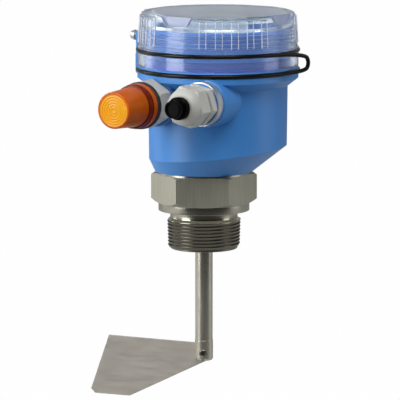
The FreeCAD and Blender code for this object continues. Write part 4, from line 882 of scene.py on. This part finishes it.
def grown(name: str, kind: GeometryTree, values: dict[str, object], finish: Finish,
          place: Matrix = Matrix.Identity(4)) -> bpy.types.Mesh:
    """Run a geometry tree with its inputs set and keep the result as a plain mesh.

    Args:
        name: Mesh's name.
        kind: Tree to run.
        values: The tree's inputs by name; lengths in metres.
        finish: Finish that the tree sets.
        place: Where the result goes.

    Returns:
        The mesh.
    """
    holder = bpy.data.objects.new(f"{name}_holder", bpy.data.meshes.new(f"{name}_holder"))
    bpy.context.scene.collection.objects.link(holder)
    modifier = holder.modifiers.new("grow", "NODES")
    modifier.node_group = kind.tree()
    sockets = {item.name: item.identifier for item in modifier.node_group.interface.items_tree
               if item.item_type == "SOCKET" and item.in_out == "INPUT"}
    for label, value in {**values, "Finish": finish.material()}.items():
        modifier[sockets[label]] = value
    depsgraph = bpy.context.evaluated_depsgraph_get()
    mesh = bpy.data.meshes.new_from_object(holder.evaluated_get(depsgraph), depsgraph=depsgraph)
    mesh.name = name
    mesh.transform(place)
    holder.modifiers.clear()
    bpy.data.objects.remove(holder)
    return mesh


@dataclass(frozen=True)
class ThreadRidge:
    """Ridge of a screw thread, wound about the Z axis from one height and radius to another."""

    pitch: float
    low: float
    high: float
    low_radius: float
    high_radius: float
    width: float
    crest: float
    depth: float
    steps: int = FINE_STEPS

    def mesh(self, name: str, finish: Finish, place: Matrix) -> bpy.types.Mesh:
        """Wind the ridge.

        Args:
            name: Mesh's name.
            finish: Its finish.
            place: Where the thread's axis goes.

        Returns:
            The mesh.
        """
        length = self.high - self.low
        mesh = grown(name, GeometryTree.SPIRAL_RIDGE, {
            "Turns": length / self.pitch, "Length": length * MM, "Low Radius": self.low_radius * MM,
            "High Radius": self.high_radius * MM, "Ridge Width": self.width * MM,
            "Ridge Crest": self.crest * MM, "Ridge Depth": self.depth * MM, "Steps": self.steps,
        }, finish, place @ Matrix.Translation((0, 0, self.low * MM)))
        smooth(mesh, CREASE_ANGLE)
        return mesh


# Sub-assemblies


@dataclass
class ProcessConnection:
    """Steel body with its hexagon, collar, undercut and taper pipe thread."""

    flats: float = 60.0
    turn: float = 58.0
    hex_low: float = 5.0
    hex_high: float = 24.5
    low_land: float = 30.14
    high_land: float = 32.56
    chamfer_slope: float = 0.5774
    collar_radius: float = 29.8
    undercut_radius: float = 22.1
    undercut_low: float = -4.7
    thread_high: float = -6.4
    thread_low: float = -25.3
    crest_radius: float = 23.95
    taper: float = 0.03125
    pitch: float = 2.209
    thread_depth: float = 1.55
    thread_start: float = 2.27
    thread_width: float = 1.95
    thread_crest: float = 0.3
    thread_sink: float = 0.1
    thread_steps: int = 96
    run_in: float = 1.5
    run_out: float = 0.4
    foot_flare: float = 0.2
    foot_height: float = 0.5
    shoulder: float = 1.6
    crest_inset: float = 0.1
    mouth_round: float = 0.3
    foot_round: float = 0.4
    undercut_round: float = 0.5
    collar_fillet: float = 0.7
    collar_round: float = 0.35
    flat_margin: float = 1.5
    level_margin: float = 0.01
    seat_ring: float = 30.8
    seat_plane: float = 25.8
    spigot_radius: float = 19.0
    spigot_high: float = 44.0
    passage: float = 7.0
    seal_radius: float = 11.0
    race_radius: float = 13.0
    columns: int = 180

    def column(self, angle: float) -> list[Pair]:
        """The body's outline at one angle.

        Args:
            angle: Angle about the shaft's axis, in radians from a corner of the hexagon.

        Returns:
            Closed outline as (radius, height).
        """
        sixth = math.tau / 6
        face = self.flats / 2 / math.cos(angle % sixth - sixth / 2)
        low_cut = self.hex_low + max(0.0, face - self.low_land) * self.chamfer_slope
        high_cut = self.hex_high - max(0.0, face - self.high_land) * self.chamfer_slope
        root = self.crest_radius - self.thread_depth
        root_low = root - (self.thread_high - self.thread_low) * self.taper
        seal_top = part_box("shaft_seal")[1].z / MM
        low_race = [corner.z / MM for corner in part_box("lower_bearing")]
        high_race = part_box("upper_bearing")[0].z / MM
        return [
            *soften([
                (self.seal_radius, self.thread_low, self.mouth_round),
                (root_low - self.mouth_round, self.thread_low, self.foot_round),
                (root_low + self.foot_flare, self.thread_low + self.foot_height, 0),
                (root, self.thread_high - self.shoulder, 0),
                (self.crest_radius - self.crest_inset, self.thread_high, self.foot_round),
                (self.undercut_radius, self.undercut_low, self.undercut_round),
                (self.undercut_radius, 0, self.collar_fillet),
                (self.collar_radius, 0, self.collar_round),
                (self.collar_radius, self.hex_low, 0),
            ])[:-1],
            (min(self.collar_radius, face), self.hex_low),
            (min(self.low_land, face), self.hex_low),
            (face, low_cut),
            (face, high_cut),
            (min(self.high_land, face), self.hex_high),
            (self.seat_ring, self.hex_high),
            (self.seat_ring, self.seat_plane),
            (self.spigot_radius, self.seat_plane),
            (self.spigot_radius, self.spigot_high),
            (self.race_radius, self.spigot_high),
            (self.race_radius, high_race),
            (self.passage, high_race),
            (self.passage, low_race[1]),
            (self.race_radius, low_race[1]),
            (self.race_radius, low_race[0]),
            (self.passage, low_race[0]),
            (self.passage, seal_top),
            (self.seal_radius, seal_top),
        ]

    def finish_at(self, middle: Vector) -> Finish:
        """Finish of the body at a place.

        Args:
            middle: Middle of a face, in metres.

        Returns:
            Brushed steel on the hexagon's flats, and turned or threaded steel elsewhere.
        """
        level = middle.z / MM
        outer = math.hypot(middle.x, middle.y) / MM > self.collar_radius - self.flat_margin
        if outer and self.hex_low - self.level_margin < level < self.hex_high + self.level_margin:
            return HEX_STEEL
        return THREAD_STEEL if level < self.thread_high else TURNED_STEEL

    def body_mesh(self) -> bpy.types.Mesh:
        """The body as one closed skin with a true hexagon.

        Returns:
            The mesh.
        """
        columns = []
        for step in range(self.columns):
            angle = math.tau * step / self.columns
            turned = angle + math.radians(self.turn)
            columns.append([(r * math.cos(turned), r * math.sin(turned), h) for r, h in self.column(angle)])
        mesh = mesh_of_columns("connection_body", columns)
        smooth(mesh, angle=20.0)
        return mesh

    def thread_mesh(self) -> bpy.types.Mesh:
        """The pipe thread's ridge, wound on the taper.

        Returns:
            The mesh.
        """
        low, high = self.thread_low + self.run_in, self.thread_high - self.run_out
        high_radius = self.crest_radius - self.thread_depth / 2 - self.run_out * self.taper
        ridge = ThreadRidge(self.pitch, low, high, high_radius - (high - low) * self.taper, high_radius,
                            self.thread_width, self.thread_crest, self.thread_depth + self.thread_sink,
                            self.thread_steps)
        return ridge.mesh("pipe_thread", THREAD_STEEL, Matrix.Rotation(self.thread_start, 4, "Z"))

    def build(self) -> None:
        """Build the body and its thread."""
        finishes = [HEX_STEEL, TURNED_STEEL, THREAD_STEEL]
        body = self.body_mesh()
        share_out(body, finishes, self.finish_at)
        publish(body, "connection_body", Body.HOUSING, finishes, ["process_connection"])
        publish(self.thread_mesh(), "pipe_thread", Body.HOUSING)


@dataclass
class HousingNeck:
    """Coarse thread and the dark band at the foot of the housing's neck, which show through the cover."""

    radius: float = 46.5
    low: float = 108.2
    high: float = 118.4
    pitch: float = 2.5
    ridge: float = 1.15
    ridge_width: float = 1.3
    ridge_crest: float = 0.4
    ridge_sink: float = 0.1
    band_width: float = 1.0
    band_sink: float = 0.05
    band_gap: float = 0.1
    band_high: float = 101.0
    band_foot_round: float = 0.2
    band_top_round: float = 0.4

    def thread_mesh(self) -> bpy.types.Mesh:
        """The neck's thread above the band.

        Returns:
            The mesh.
        """
        radius = self.radius + self.ridge / 2 - self.ridge_sink
        ridge = ThreadRidge(self.pitch, self.low, self.high, radius, radius,
                            self.ridge_width, self.ridge_crest, self.ridge)
        return ridge.mesh("neck_thread", NECK_BLUE, HOUSING_AXIS)

    def band_mesh(self) -> bpy.types.Mesh:
        """The band between the gasket and the thread.

        Returns:
            The mesh.
        """
        inner, outer = self.radius - self.band_sink, self.radius + self.band_width
        low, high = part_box("cover_gasket")[1].z / MM + self.band_gap, self.band_high
        outline = [(inner, low, 0), (outer, low, self.band_foot_round), (outer, high, self.band_top_round),
                   (inner, high, 0)]
        band = revolve("neck_band", soften(outline), FINE_STEPS)
        smooth(band, CREASE_ANGLE)
        band.transform(HOUSING_AXIS)
        return band

    def build(self) -> None:
        """Build the thread's ridge and the band below it."""
        publish(self.thread_mesh(), "neck_thread", Body.HOUSING)
        publish(self.band_mesh(), "neck_band", Body.HOUSING, [BAND_BLUE])


@dataclass
class CoverDetails:
    """Painted highlights on the edges of the clear cover's grip ribs, its frosted inner thread and the
    frosted skin of its notches.
    """

    rib_count: int = 5
    sectors: int = 4
    rib_pitch: float = 11.6
    first_notch: float = 57.0
    half_width: float = 2.2
    radius: float = 51.55
    draft: float = 3.48
    edge_depth: float = 0.6
    edge_width: float = 0.3
    edge_height: float = 17.4
    middle: float = 119.0
    thread_low: float = 108.9
    thread_high: float = 119.4
    thread_pitch: float = 2.5
    bore: float = 48.1
    ridge: float = 0.4
    ridge_width: float = 0.7
    ridge_crest: float = 0.3
    ridge_sink: float = 0.05
    notch_back: float = 47.55
    notch_front: float = 49.9
    notch_floor: float = 124.15
    notch_top: float = 130.1
    notch_floor_width: float = 15.8
    notch_top_width: float = 23.4
    notch_skin: float = 0.12

    def rib_edges(self, name: str, side: int) -> None:
        """Build one edge of every rib, a near-white strip that paints a highlight.

        Args:
            name: Piece's name.
            side: -1 for the ribs' left edges, 1 for their right ones.
        """
        sector = 360 / self.sectors
        offset = math.degrees(self.half_width / self.radius)
        start = self.first_notch + sector / 2 - self.rib_pitch * (self.rib_count - 1) / 2 + side * offset
        mesh = grown(name, GeometryTree.RIB_RING, {
            "Count": self.rib_count * self.sectors, "Group Size": self.rib_count,
            "Group Pitch": math.radians(sector), "Rib Pitch": math.radians(self.rib_pitch),
            "Start": math.radians(start), "Radius": self.radius * MM, "Rib Depth": self.edge_depth * MM,
            "Rib Width": self.edge_width * MM, "Rib Height": self.edge_height * MM,
            "Draft": -math.radians(self.draft),
        }, RIB_EDGE_HIGHLIGHT, HOUSING_AXIS @ Matrix.Translation((0, 0, self.middle * MM)))
        publish(mesh, name, Body.COVER)

    def inner_thread(self) -> None:
        """Build the thread inside the cover's bore."""
        radius = self.bore - self.ridge / 2 + self.ridge_sink
        ridge = ThreadRidge(self.thread_pitch, self.thread_low, self.thread_high, radius, radius,
                            self.ridge_width, self.ridge_crest, self.ridge)
        mesh = ridge.mesh("cover_thread", THREAD_FROST, HOUSING_AXIS)
        publish(mesh, "cover_thread", Body.COVER)

    def notch_faces(self) -> None:
        """Build the frosted skin of the notches in the cover's top edge."""
        form = bmesh.new()
        half_floor, half_top = self.notch_floor_width / 2, self.notch_top_width / 2
        floor, top = self.notch_floor, self.notch_top
        outline = [(half_top, top), (half_floor, floor), (-half_floor, floor), (-half_top, top)]
        for notch in range(self.sectors):
            turn = Matrix.Rotation(math.radians(self.first_notch + 360 / self.sectors * notch), 4, "Z")
            back = [form.verts.new(turn @ Vector((self.notch_back, y, z))) for y, z in outline]
            front = [form.verts.new(turn @ Vector((self.notch_front, y, z))) for y, z in outline]
            form.faces.new(back)
            for side in range(len(outline) - 1):
                form.faces.new((back[side], front[side], front[side + 1], back[side + 1]))
        bmesh.ops.recalc_face_normals(form, faces=form.faces)
        bmesh.ops.solidify(form, geom=form.faces[:], thickness=self.notch_skin)
        bmesh.ops.recalc_face_normals(form, faces=form.faces)
        mesh = bpy.data.meshes.new("notch_faces")
        form.to_mesh(mesh)
        form.free()
        mesh.transform(Matrix.Scale(MM, 4))
        mesh.transform(HOUSING_AXIS)
        publish(mesh, "notch_faces", Body.COVER, [NOTCH_FROST])

    def build(self) -> None:
        """Build the ribs' edges, the inner thread and the notches' skin."""
        self.rib_edges("rib_edges_left", -1)
        self.rib_edges("rib_edges_right", 1)
        self.inner_thread()
        self.notch_faces()


@dataclass
class RetainingCord:
    """Black cord that ties the cover to the housing: two rings in grooves and the loop between them."""

    diameter: float = 2.7
    radius: float = 52.2
    upper: float = 105.5
    lower: float = 92.7
    leave: float = -56.0
    arc: float = 342.0
    loop_length: float = 77.0
    ring_steps: int = 220
    loop_steps: int = 24
    crease: float = 50.0
    route: tuple[Triple, ...] = (
        (38.54, -43.11, 105.5), (64.98, -25.27, 105.5), (68.04, -23.21, 99.1),
        (64.98, -25.27, 92.7), (38.29, -43.28, 92.7),
    )

    def ring_mesh(self, name: str, height: float) -> bpy.types.Mesh:
        """A ring of the cord in its groove, open where the loop leaves.

        Args:
            name: Mesh's name.
            height: Height of its middle.

        Returns:
            The mesh.
        """
        columns = []
        half = self.diameter / 2
        for step in range(self.ring_steps + 1):
            angle = math.radians(self.leave + (360 - self.arc) + self.arc * step / self.ring_steps)
            column = []
            for part in range(TUBE_SIDES):
                turn = math.tau * part / TUBE_SIDES
                reach = self.radius + half * math.cos(turn)
                column.append((HOUSING_OFFSET + reach * math.cos(angle), reach * math.sin(angle),
                               height + half * math.sin(turn)))
            columns.append(column)
        mesh = mesh_of_columns(name, columns, closed=False)
        smooth(mesh, self.crease)
        return mesh

    def loop_path(self) -> list[Vector]:
        """Read the loop's middle line from the spline of its route.

        Returns:
            Points in millimetres.
        """
        curve = bpy.data.curves.new("cord_route", "CURVE")
        curve.dimensions = "3D"
        spline = curve.splines.new("NURBS")
        spline.points.add(len(self.route) - 1)
        for point, place in zip(spline.points, self.route):
            point.co = (*(Vector(place) * MM), 1.0)
        spline.order_u = 3
        spline.use_endpoint_u = True
        curve.resolution_u = self.loop_steps
        line = bpy.data.objects.new("cord_route", curve)
        points = bpy.data.meshes.new_from_object(line)
        path = [vertex.co / MM for vertex in points.vertices]
        bpy.data.objects.remove(line)
        bpy.data.meshes.remove(points)
        bpy.data.curves.remove(curve)
        return path

    def loop_mesh(self, path: list[Vector]) -> bpy.types.Mesh:
        """The loop as a closed tube along its middle line.

        Args:
            path: Points of the middle line.

        Returns:
            The mesh.
        """
        across = Vector((0.0, 0.0, 1.0))
        half = self.diameter / 2
        turns = [math.tau * part / TUBE_SIDES for part in range(TUBE_SIDES)]
        columns = []
        for index, place in enumerate(path):
            ahead = (path[min(index + 1, len(path) - 1)] - path[max(index - 1, 0)]).normalized()
            across = (across - ahead * across.dot(ahead)).normalized()
            aside = ahead.cross(across)
            columns.append([tuple(place + (across * math.cos(turn) + aside * math.sin(turn)) * half)
                            for turn in turns])
        mesh = mesh_of_columns("cord_loop", columns, closed=False)
        smooth(mesh, self.crease)
        return mesh

    def build(self) -> None:
        """Build the two rings, and the loop between them."""
        for name, height, body in (("cord_upper", self.upper, Body.CORD_CARRIER),
                                   ("cord_lower", self.lower, Body.HOUSING)):
            publish(self.ring_mesh(name, height), name, body, [CORD_BLACK], [f"cover_{name}"])
        path = self.loop_path()
        loop = publish(self.loop_mesh(path), "cord_loop", None, [CORD_BLACK],
                       ["cover_cord_loop"])
        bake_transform(loop)


@dataclass
class EntryPlace:
    """Axis of a cable entry: side 1 carries the gland, side -1 the lamp."""

    side: int
    rise: float = 0.0
    turn: float = 30.8
    face: float = 48.8
    spacing: float = 37.6
    height: float = 74.0

    def matrix(self) -> Matrix:
        """Placement of a piece that is modelled along +Z, with its zero at the boss's face.

        Returns:
            The placement, in metres.
        """
        angle = math.radians(self.turn)
        outward = Vector((-math.sin(angle), -math.cos(angle), 0))
        across = Vector((math.cos(angle), -math.sin(angle), 0))
        origin = Vector((HOUSING_OFFSET, 0, self.height + self.rise))
        origin += outward * self.face + across * self.spacing / 2 * self.side
        up = outward.cross(across)
        turned = Matrix((across, up, outward)).transposed().to_4x4()
        return Matrix.Translation(origin * MM) @ turned


@dataclass
class LampLens:
    """Amber lens of the signal lamp: stepped foot, fluted wall and a face with concentric rings."""

    place: EntryPlace = field(default_factory=lambda: EntryPlace(-1))
    low: float = 19.0
    base_radius: float = 14.6
    base_height: float = 4.5
    step_radius: float = 14.0
    step_height: float = 3.7
    foot_radius: float = 12.9
    face_radius: float = 11.75
    height: float = 30.5
    wall: float = 1.6
    socket_radius: float = 10.55
    socket_depth: float = 6.0
    step_inset: float = 0.1
    edge_round: float = 0.4
    step_round: float = 0.5
    corner_round: float = 0.1
    foot_round: float = 0.2
    face_round: float = 1.2
    socket_lead: float = 2.5
    ringed_radius: float = 10.2
    ring_count: int = 6
    ring_depth: float = 0.26
    ring_land: float = 0.35
    # How far the painted shade of the step reaches up the wall.
    painted_shade_rise: float = 1.6
    flute_count: int = 88
    flute_low_gap: float = 2.0
    flute_high_gap: float = 3.0
    flute_depth: float = 0.5
    flute_width: float = 0.35
    flute_sink: float = 0.1

    @property
    def step_level(self) -> float:
        """Height at which the fluted wall starts."""
        return self.low + self.base_height + self.step_height

    @property
    def end(self) -> float:
        """Height of the face."""
        return self.low + self.height

    def outline(self) -> list[Pair]:
        """The lens's outline, from its outer foot over the face to the ringed inside.

        Returns:
            Closed outline as (radius, height).
        """
        low, end, step = self.low, self.end, self.step_level
        base = low + self.base_height
        outside = soften([
            (self.socket_radius, low, 0),
            (self.base_radius, low, self.edge_round),
            (self.base_radius, base, self.step_round),
            (self.step_radius, base + self.step_inset, self.corner_round),
            (self.step_radius, step, self.step_round),
            (self.foot_radius, step + self.step_inset, self.foot_round),
            (self.face_radius, end, self.face_round),
            (self.ringed_radius, end, 0),
        ])
        pitch = self.ringed_radius / self.ring_count
        rings: list[Pair] = []
        for ring in range(self.ring_count, 0, -1):
            rings.append(((ring - self.ring_land) * pitch, end - self.ring_depth))
            rings.append(((ring - 1) * pitch, end if ring > 1 else end - self.ring_depth))
        inner = self.face_radius - self.wall
        socket = low + self.socket_depth
        inside = [(0.0, end - self.wall), (inner - self.face_round, end - self.wall),
                  (inner, end - self.wall - self.face_round),
                  (self.foot_radius - self.wall, socket + self.socket_lead), (self.socket_radius, socket)]
        return outside + rings + inside

    def finish_at(self, middle: Vector) -> Finish:
        """Finish of the lens at a place, before it is moved to its entry.

        Args:
            middle: Middle of a face, in metres.

        Returns:
            The painted shade on the band at the foot's step, the painted light on the ringed face, or the
            wall's finish.
        """
        level = middle.z / MM
        reach = math.hypot(middle.x, middle.y) / MM
        # Painted shade on the band at the step, painted light on the ringed face.
        if self.low + self.base_height - self.step_inset < level < self.step_level + self.painted_shade_rise:
            return LENS_FOOT_PAINTED_SHADE
        ringed = level > self.end - 2 * self.ring_depth and reach < self.ringed_radius
        return LENS_FACE_PAINTED_LIGHT if ringed else LENS_AMBER

    def flutes(self, place: Matrix) -> bpy.types.Mesh:
        """The flutes inside the lens's wall.

        Args:
            place: Placement of the lens.

        Returns:
            The mesh.
        """
        low, high = self.step_level + self.flute_low_gap, self.end - self.flute_high_gap
        draft = math.atan((self.foot_radius - self.face_radius) / (high - low))
        radius = (self.foot_radius + self.face_radius) / 2 - self.wall + self.flute_sink
        return grown("lens_flutes", GeometryTree.RIB_RING, {
            "Count": self.flute_count, "Group Size": self.flute_count, "Group Pitch": 0.0,
            "Rib Pitch": math.tau / self.flute_count, "Start": 0.0, "Radius": radius * MM,
            "Rib Depth": self.flute_depth * MM, "Rib Width": self.flute_width * MM,
            "Rib Height": (high - low) * MM, "Draft": -draft,
        }, LENS_AMBER, place @ Matrix.Translation((0, 0, (low + high) / 2 * MM)))

    def build(self) -> None:
        """Build the lens and the flutes inside its wall."""
        place = self.place.matrix()
        finishes = [LENS_AMBER, LENS_FOOT_PAINTED_SHADE, LENS_FACE_PAINTED_LIGHT]
        mesh = revolve("lens_shell", self.outline(), FINE_STEPS)
        share_out(mesh, finishes, self.finish_at)
        smooth(mesh, angle=30.0)
        mesh.transform(place)
        publish(mesh, "lens_shell", Body.LENS, finishes, ["lamp_lens"])
        publish(self.flutes(place), "lens_flutes", Body.LENS)


@dataclass
class BoardParts:
    """Small parts on the circuit board under the cover."""

    top: float = 108.6
    width: float = 30.0
    depth: float = 9.0
    columns: int = 8
    rows: int = 4
    part_size: Triple = (2.0, 1.25, 0.9)
    rise: float = 0.4
    seed: int = 7

    def build(self) -> None:
        """Build the rows of small parts."""
        mesh = grown("board_parts", GeometryTree.PART_ROWS, {
            "Width": self.width * MM, "Depth": self.depth * MM, "Columns": self.columns, "Rows": self.rows,
            "Part Size": tuple(side * MM for side in self.part_size), "Seed": self.seed,
        }, CHIP_BLACK, HOUSING_AXIS @ Matrix.Translation((0, 0, (self.top + self.rise) * MM)))
        publish(mesh, "board_parts", Body.HOUSING)


# Studio


@dataclass(frozen=True)
class Lamp:
    """A soft rectangular studio lamp."""

    name: str
    place: Triple
    width: float
    height: float
    power: float
    target: Triple = (0, 0, 0.03)

    def build(self) -> None:
        """Add the lamp, turned towards the housing."""
        data = bpy.data.lights.new(self.name, "AREA")
        data.shape = "RECTANGLE"
        data.size, data.size_y = self.width, self.height
        data.energy = self.power
        lamp = bpy.data.objects.new(self.name, data)
        lamp.location = self.place
        way = Vector(self.target) - Vector(self.place)
        lamp.rotation_euler = way.to_track_quat("-Z", "Y").to_euler()
        bpy.context.scene.collection.objects.link(lamp)


@dataclass(frozen=True)
class Studio:
    """Camera at the photograph's angle, soft lamps, a white surround and a pale floor."""

    distance: float = 2.6
    pitch: float = 8.2
    pixels_per_metre: float = 1527.0
    centre: Pair = (203.95, 209.4)
    sensor: float = 36.0
    near: float = 0.05
    far: float = 60.0
    floor_drop: float = 0.12
    floor_half: float = 12.0
    floor_white: float = 0.99
    floor_tones: Pair = (0.05, 0.55)
    floor_fade: Pair = (-0.8, 0.0)
    ambient: float = 0.28
    mirrored_tones: Pair = (0.03, 0.45)
    mirrored_fade: Pair = (-0.25, 0.75)
    lamps: tuple[Lamp, ...] = (
        Lamp("left_softbox", (-2.0, -0.95, 0.6), 1.2, 2.2, 52.0),
        Lamp("rim_softbox", (-2.1, 1.1, 0.6), 0.7, 2.2, 12.0),
        Lamp("right_softbox", (2.3, -0.3, 0.5), 1.1, 2.2, 14.0),
        Lamp("high_softbox", (0.1, -1.3, 2.1), 1.6, 1.2, 34.0),
    )

    def camera(self) -> None:
        """Add the camera; its small shift puts the origin where the photograph has it."""
        data = bpy.data.cameras.new("camera")
        data.sensor_width = self.sensor
        data.lens = self.pixels_per_metre * self.distance * self.sensor / PICTURE_SIDE
        half = PICTURE_SIDE / 2
        data.shift_x = (half - self.centre[0]) / PICTURE_SIDE
        data.shift_y = (self.centre[1] - half) / PICTURE_SIDE
        data.clip_start, data.clip_end = self.near, self.far
        pitch = math.radians(self.pitch)
        camera = bpy.data.objects.new("camera", data)
        camera.location = (0, -self.distance * math.cos(pitch), self.distance * math.sin(pitch))
        camera.rotation_euler = (math.pi / 2 - pitch, 0, 0)
        bpy.context.scene.collection.objects.link(camera)
        bpy.context.scene.camera = camera

    def surround(self) -> None:
        """Set the world: white behind the object, and darker towards the camera where metal mirrors it."""
        world = bpy.data.worlds.new("surround")
        world.use_nodes = True
        world.node_tree.nodes.clear()
        graph = Graph(world.node_tree)
        output = graph.add("ShaderNodeOutputWorld")
        background = graph.add("ShaderNodeBackground")
        path = graph.add("ShaderNodeLightPath")
        direction = graph.add("ShaderNodeTexCoord")
        parts = graph.add("ShaderNodeSeparateXYZ")
        graph.join(direction.outputs["Generated"], parts.inputs[0])
        mirrored = graph.spread(parts.outputs["Y"], *self.mirrored_tones, self.mirrored_fade)
        level = graph.add("ShaderNodeMix", data_type="FLOAT")
        graph.join(path.outputs["Is Glossy Ray"], level.inputs[0])
        level.inputs[2].default_value = self.ambient
        graph.join(mirrored, level.inputs[3])
        final = graph.add("ShaderNodeMix", data_type="FLOAT")
        graph.join(graph.seen(), final.inputs[0])
        graph.join(level.outputs[0], final.inputs[2])
        final.inputs[3].default_value = 1.0
        graph.join(final.outputs[0], background.inputs["Strength"])
        graph.join(background.outputs[0], output.inputs["Surface"])
        bpy.context.scene.world = world

    def floor(self, lowest: float) -> None:
        """Add the pale floor below the object.

        Args:
            lowest: Height of the object's lowest point, in metres.
        """
        form = bmesh.new()
        bmesh.ops.create_grid(form, x_segments=1, y_segments=1, size=self.floor_half)
        mesh = bpy.data.meshes.new("floor")
        form.to_mesh(mesh)
        form.free()
        mesh.transform(Matrix.Translation((0, 0, lowest - self.floor_drop)))
        floor = bpy.data.objects.new("floor", mesh)
        bpy.context.scene.collection.objects.link(floor)
        material = bpy.data.materials.new("pale_floor")
        material.use_nodes = True
        material.node_tree.nodes.clear()
        graph = Graph(material.node_tree)
        output = graph.add("ShaderNodeOutputMaterial")
        matt = graph.add("ShaderNodeBsdfDiffuse")
        place = graph.add("ShaderNodeTexCoord")
        parts = graph.add("ShaderNodeSeparateXYZ")
        graph.join(place.outputs["Object"], parts.inputs[0])
        graph.join(graph.spread(parts.outputs["Y"], *self.floor_tones, self.floor_fade), matt.inputs["Color"])
        white = graph.add("ShaderNodeEmission")
        white.inputs["Color"].default_value = (1.0, 1.0, 1.0, 1.0)
        mix = graph.add("ShaderNodeMixShader")
        graph.join(graph.maths("MULTIPLY", graph.seen(), self.floor_white), mix.inputs[0])
        graph.join(matt.outputs[0], mix.inputs[1])
        graph.join(white.outputs[0], mix.inputs[2])
        graph.join(mix.outputs[0], output.inputs["Surface"])
        mesh.materials.append(material)
        floor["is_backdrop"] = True

    def build(self) -> None:
        """Set up the camera, the lamps, the surround, the floor and the view transform."""
        bpy.context.scene.view_settings.view_transform = "Standard"
        self.camera()
        self.surround()
        self.floor(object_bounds()[0].z)
        for lamp in self.lamps:
            lamp.build()


def dress_nodes(nodes: dict[str, bpy.types.Object]) -> None:
    """Give every CAD node that stays visible its finish.

    Args:
        nodes: The frame's nodes by name.
    """
    for name, finish in NODE_FINISHES.items():
        node = nodes[name]
        node.data.materials.clear()
        node.data.materials.append(finish.material())
        log.info("node %s is finished in %s", name, finish.name)


def main() -> None:
    """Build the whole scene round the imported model."""
    logging.basicConfig(level=logging.INFO, format="%(name)s: %(message)s")
    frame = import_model()
    Studio().build()
    dress_nodes(frame["nodes"])
    parts = (RetainingCord(), ProcessConnection(), HousingNeck(), CoverDetails(), LampLens(), BoardParts())
    for part in parts:
        part.build()
        log.info("%s is built", type(part).__name__)


if __name__ == "__main__":
    main()
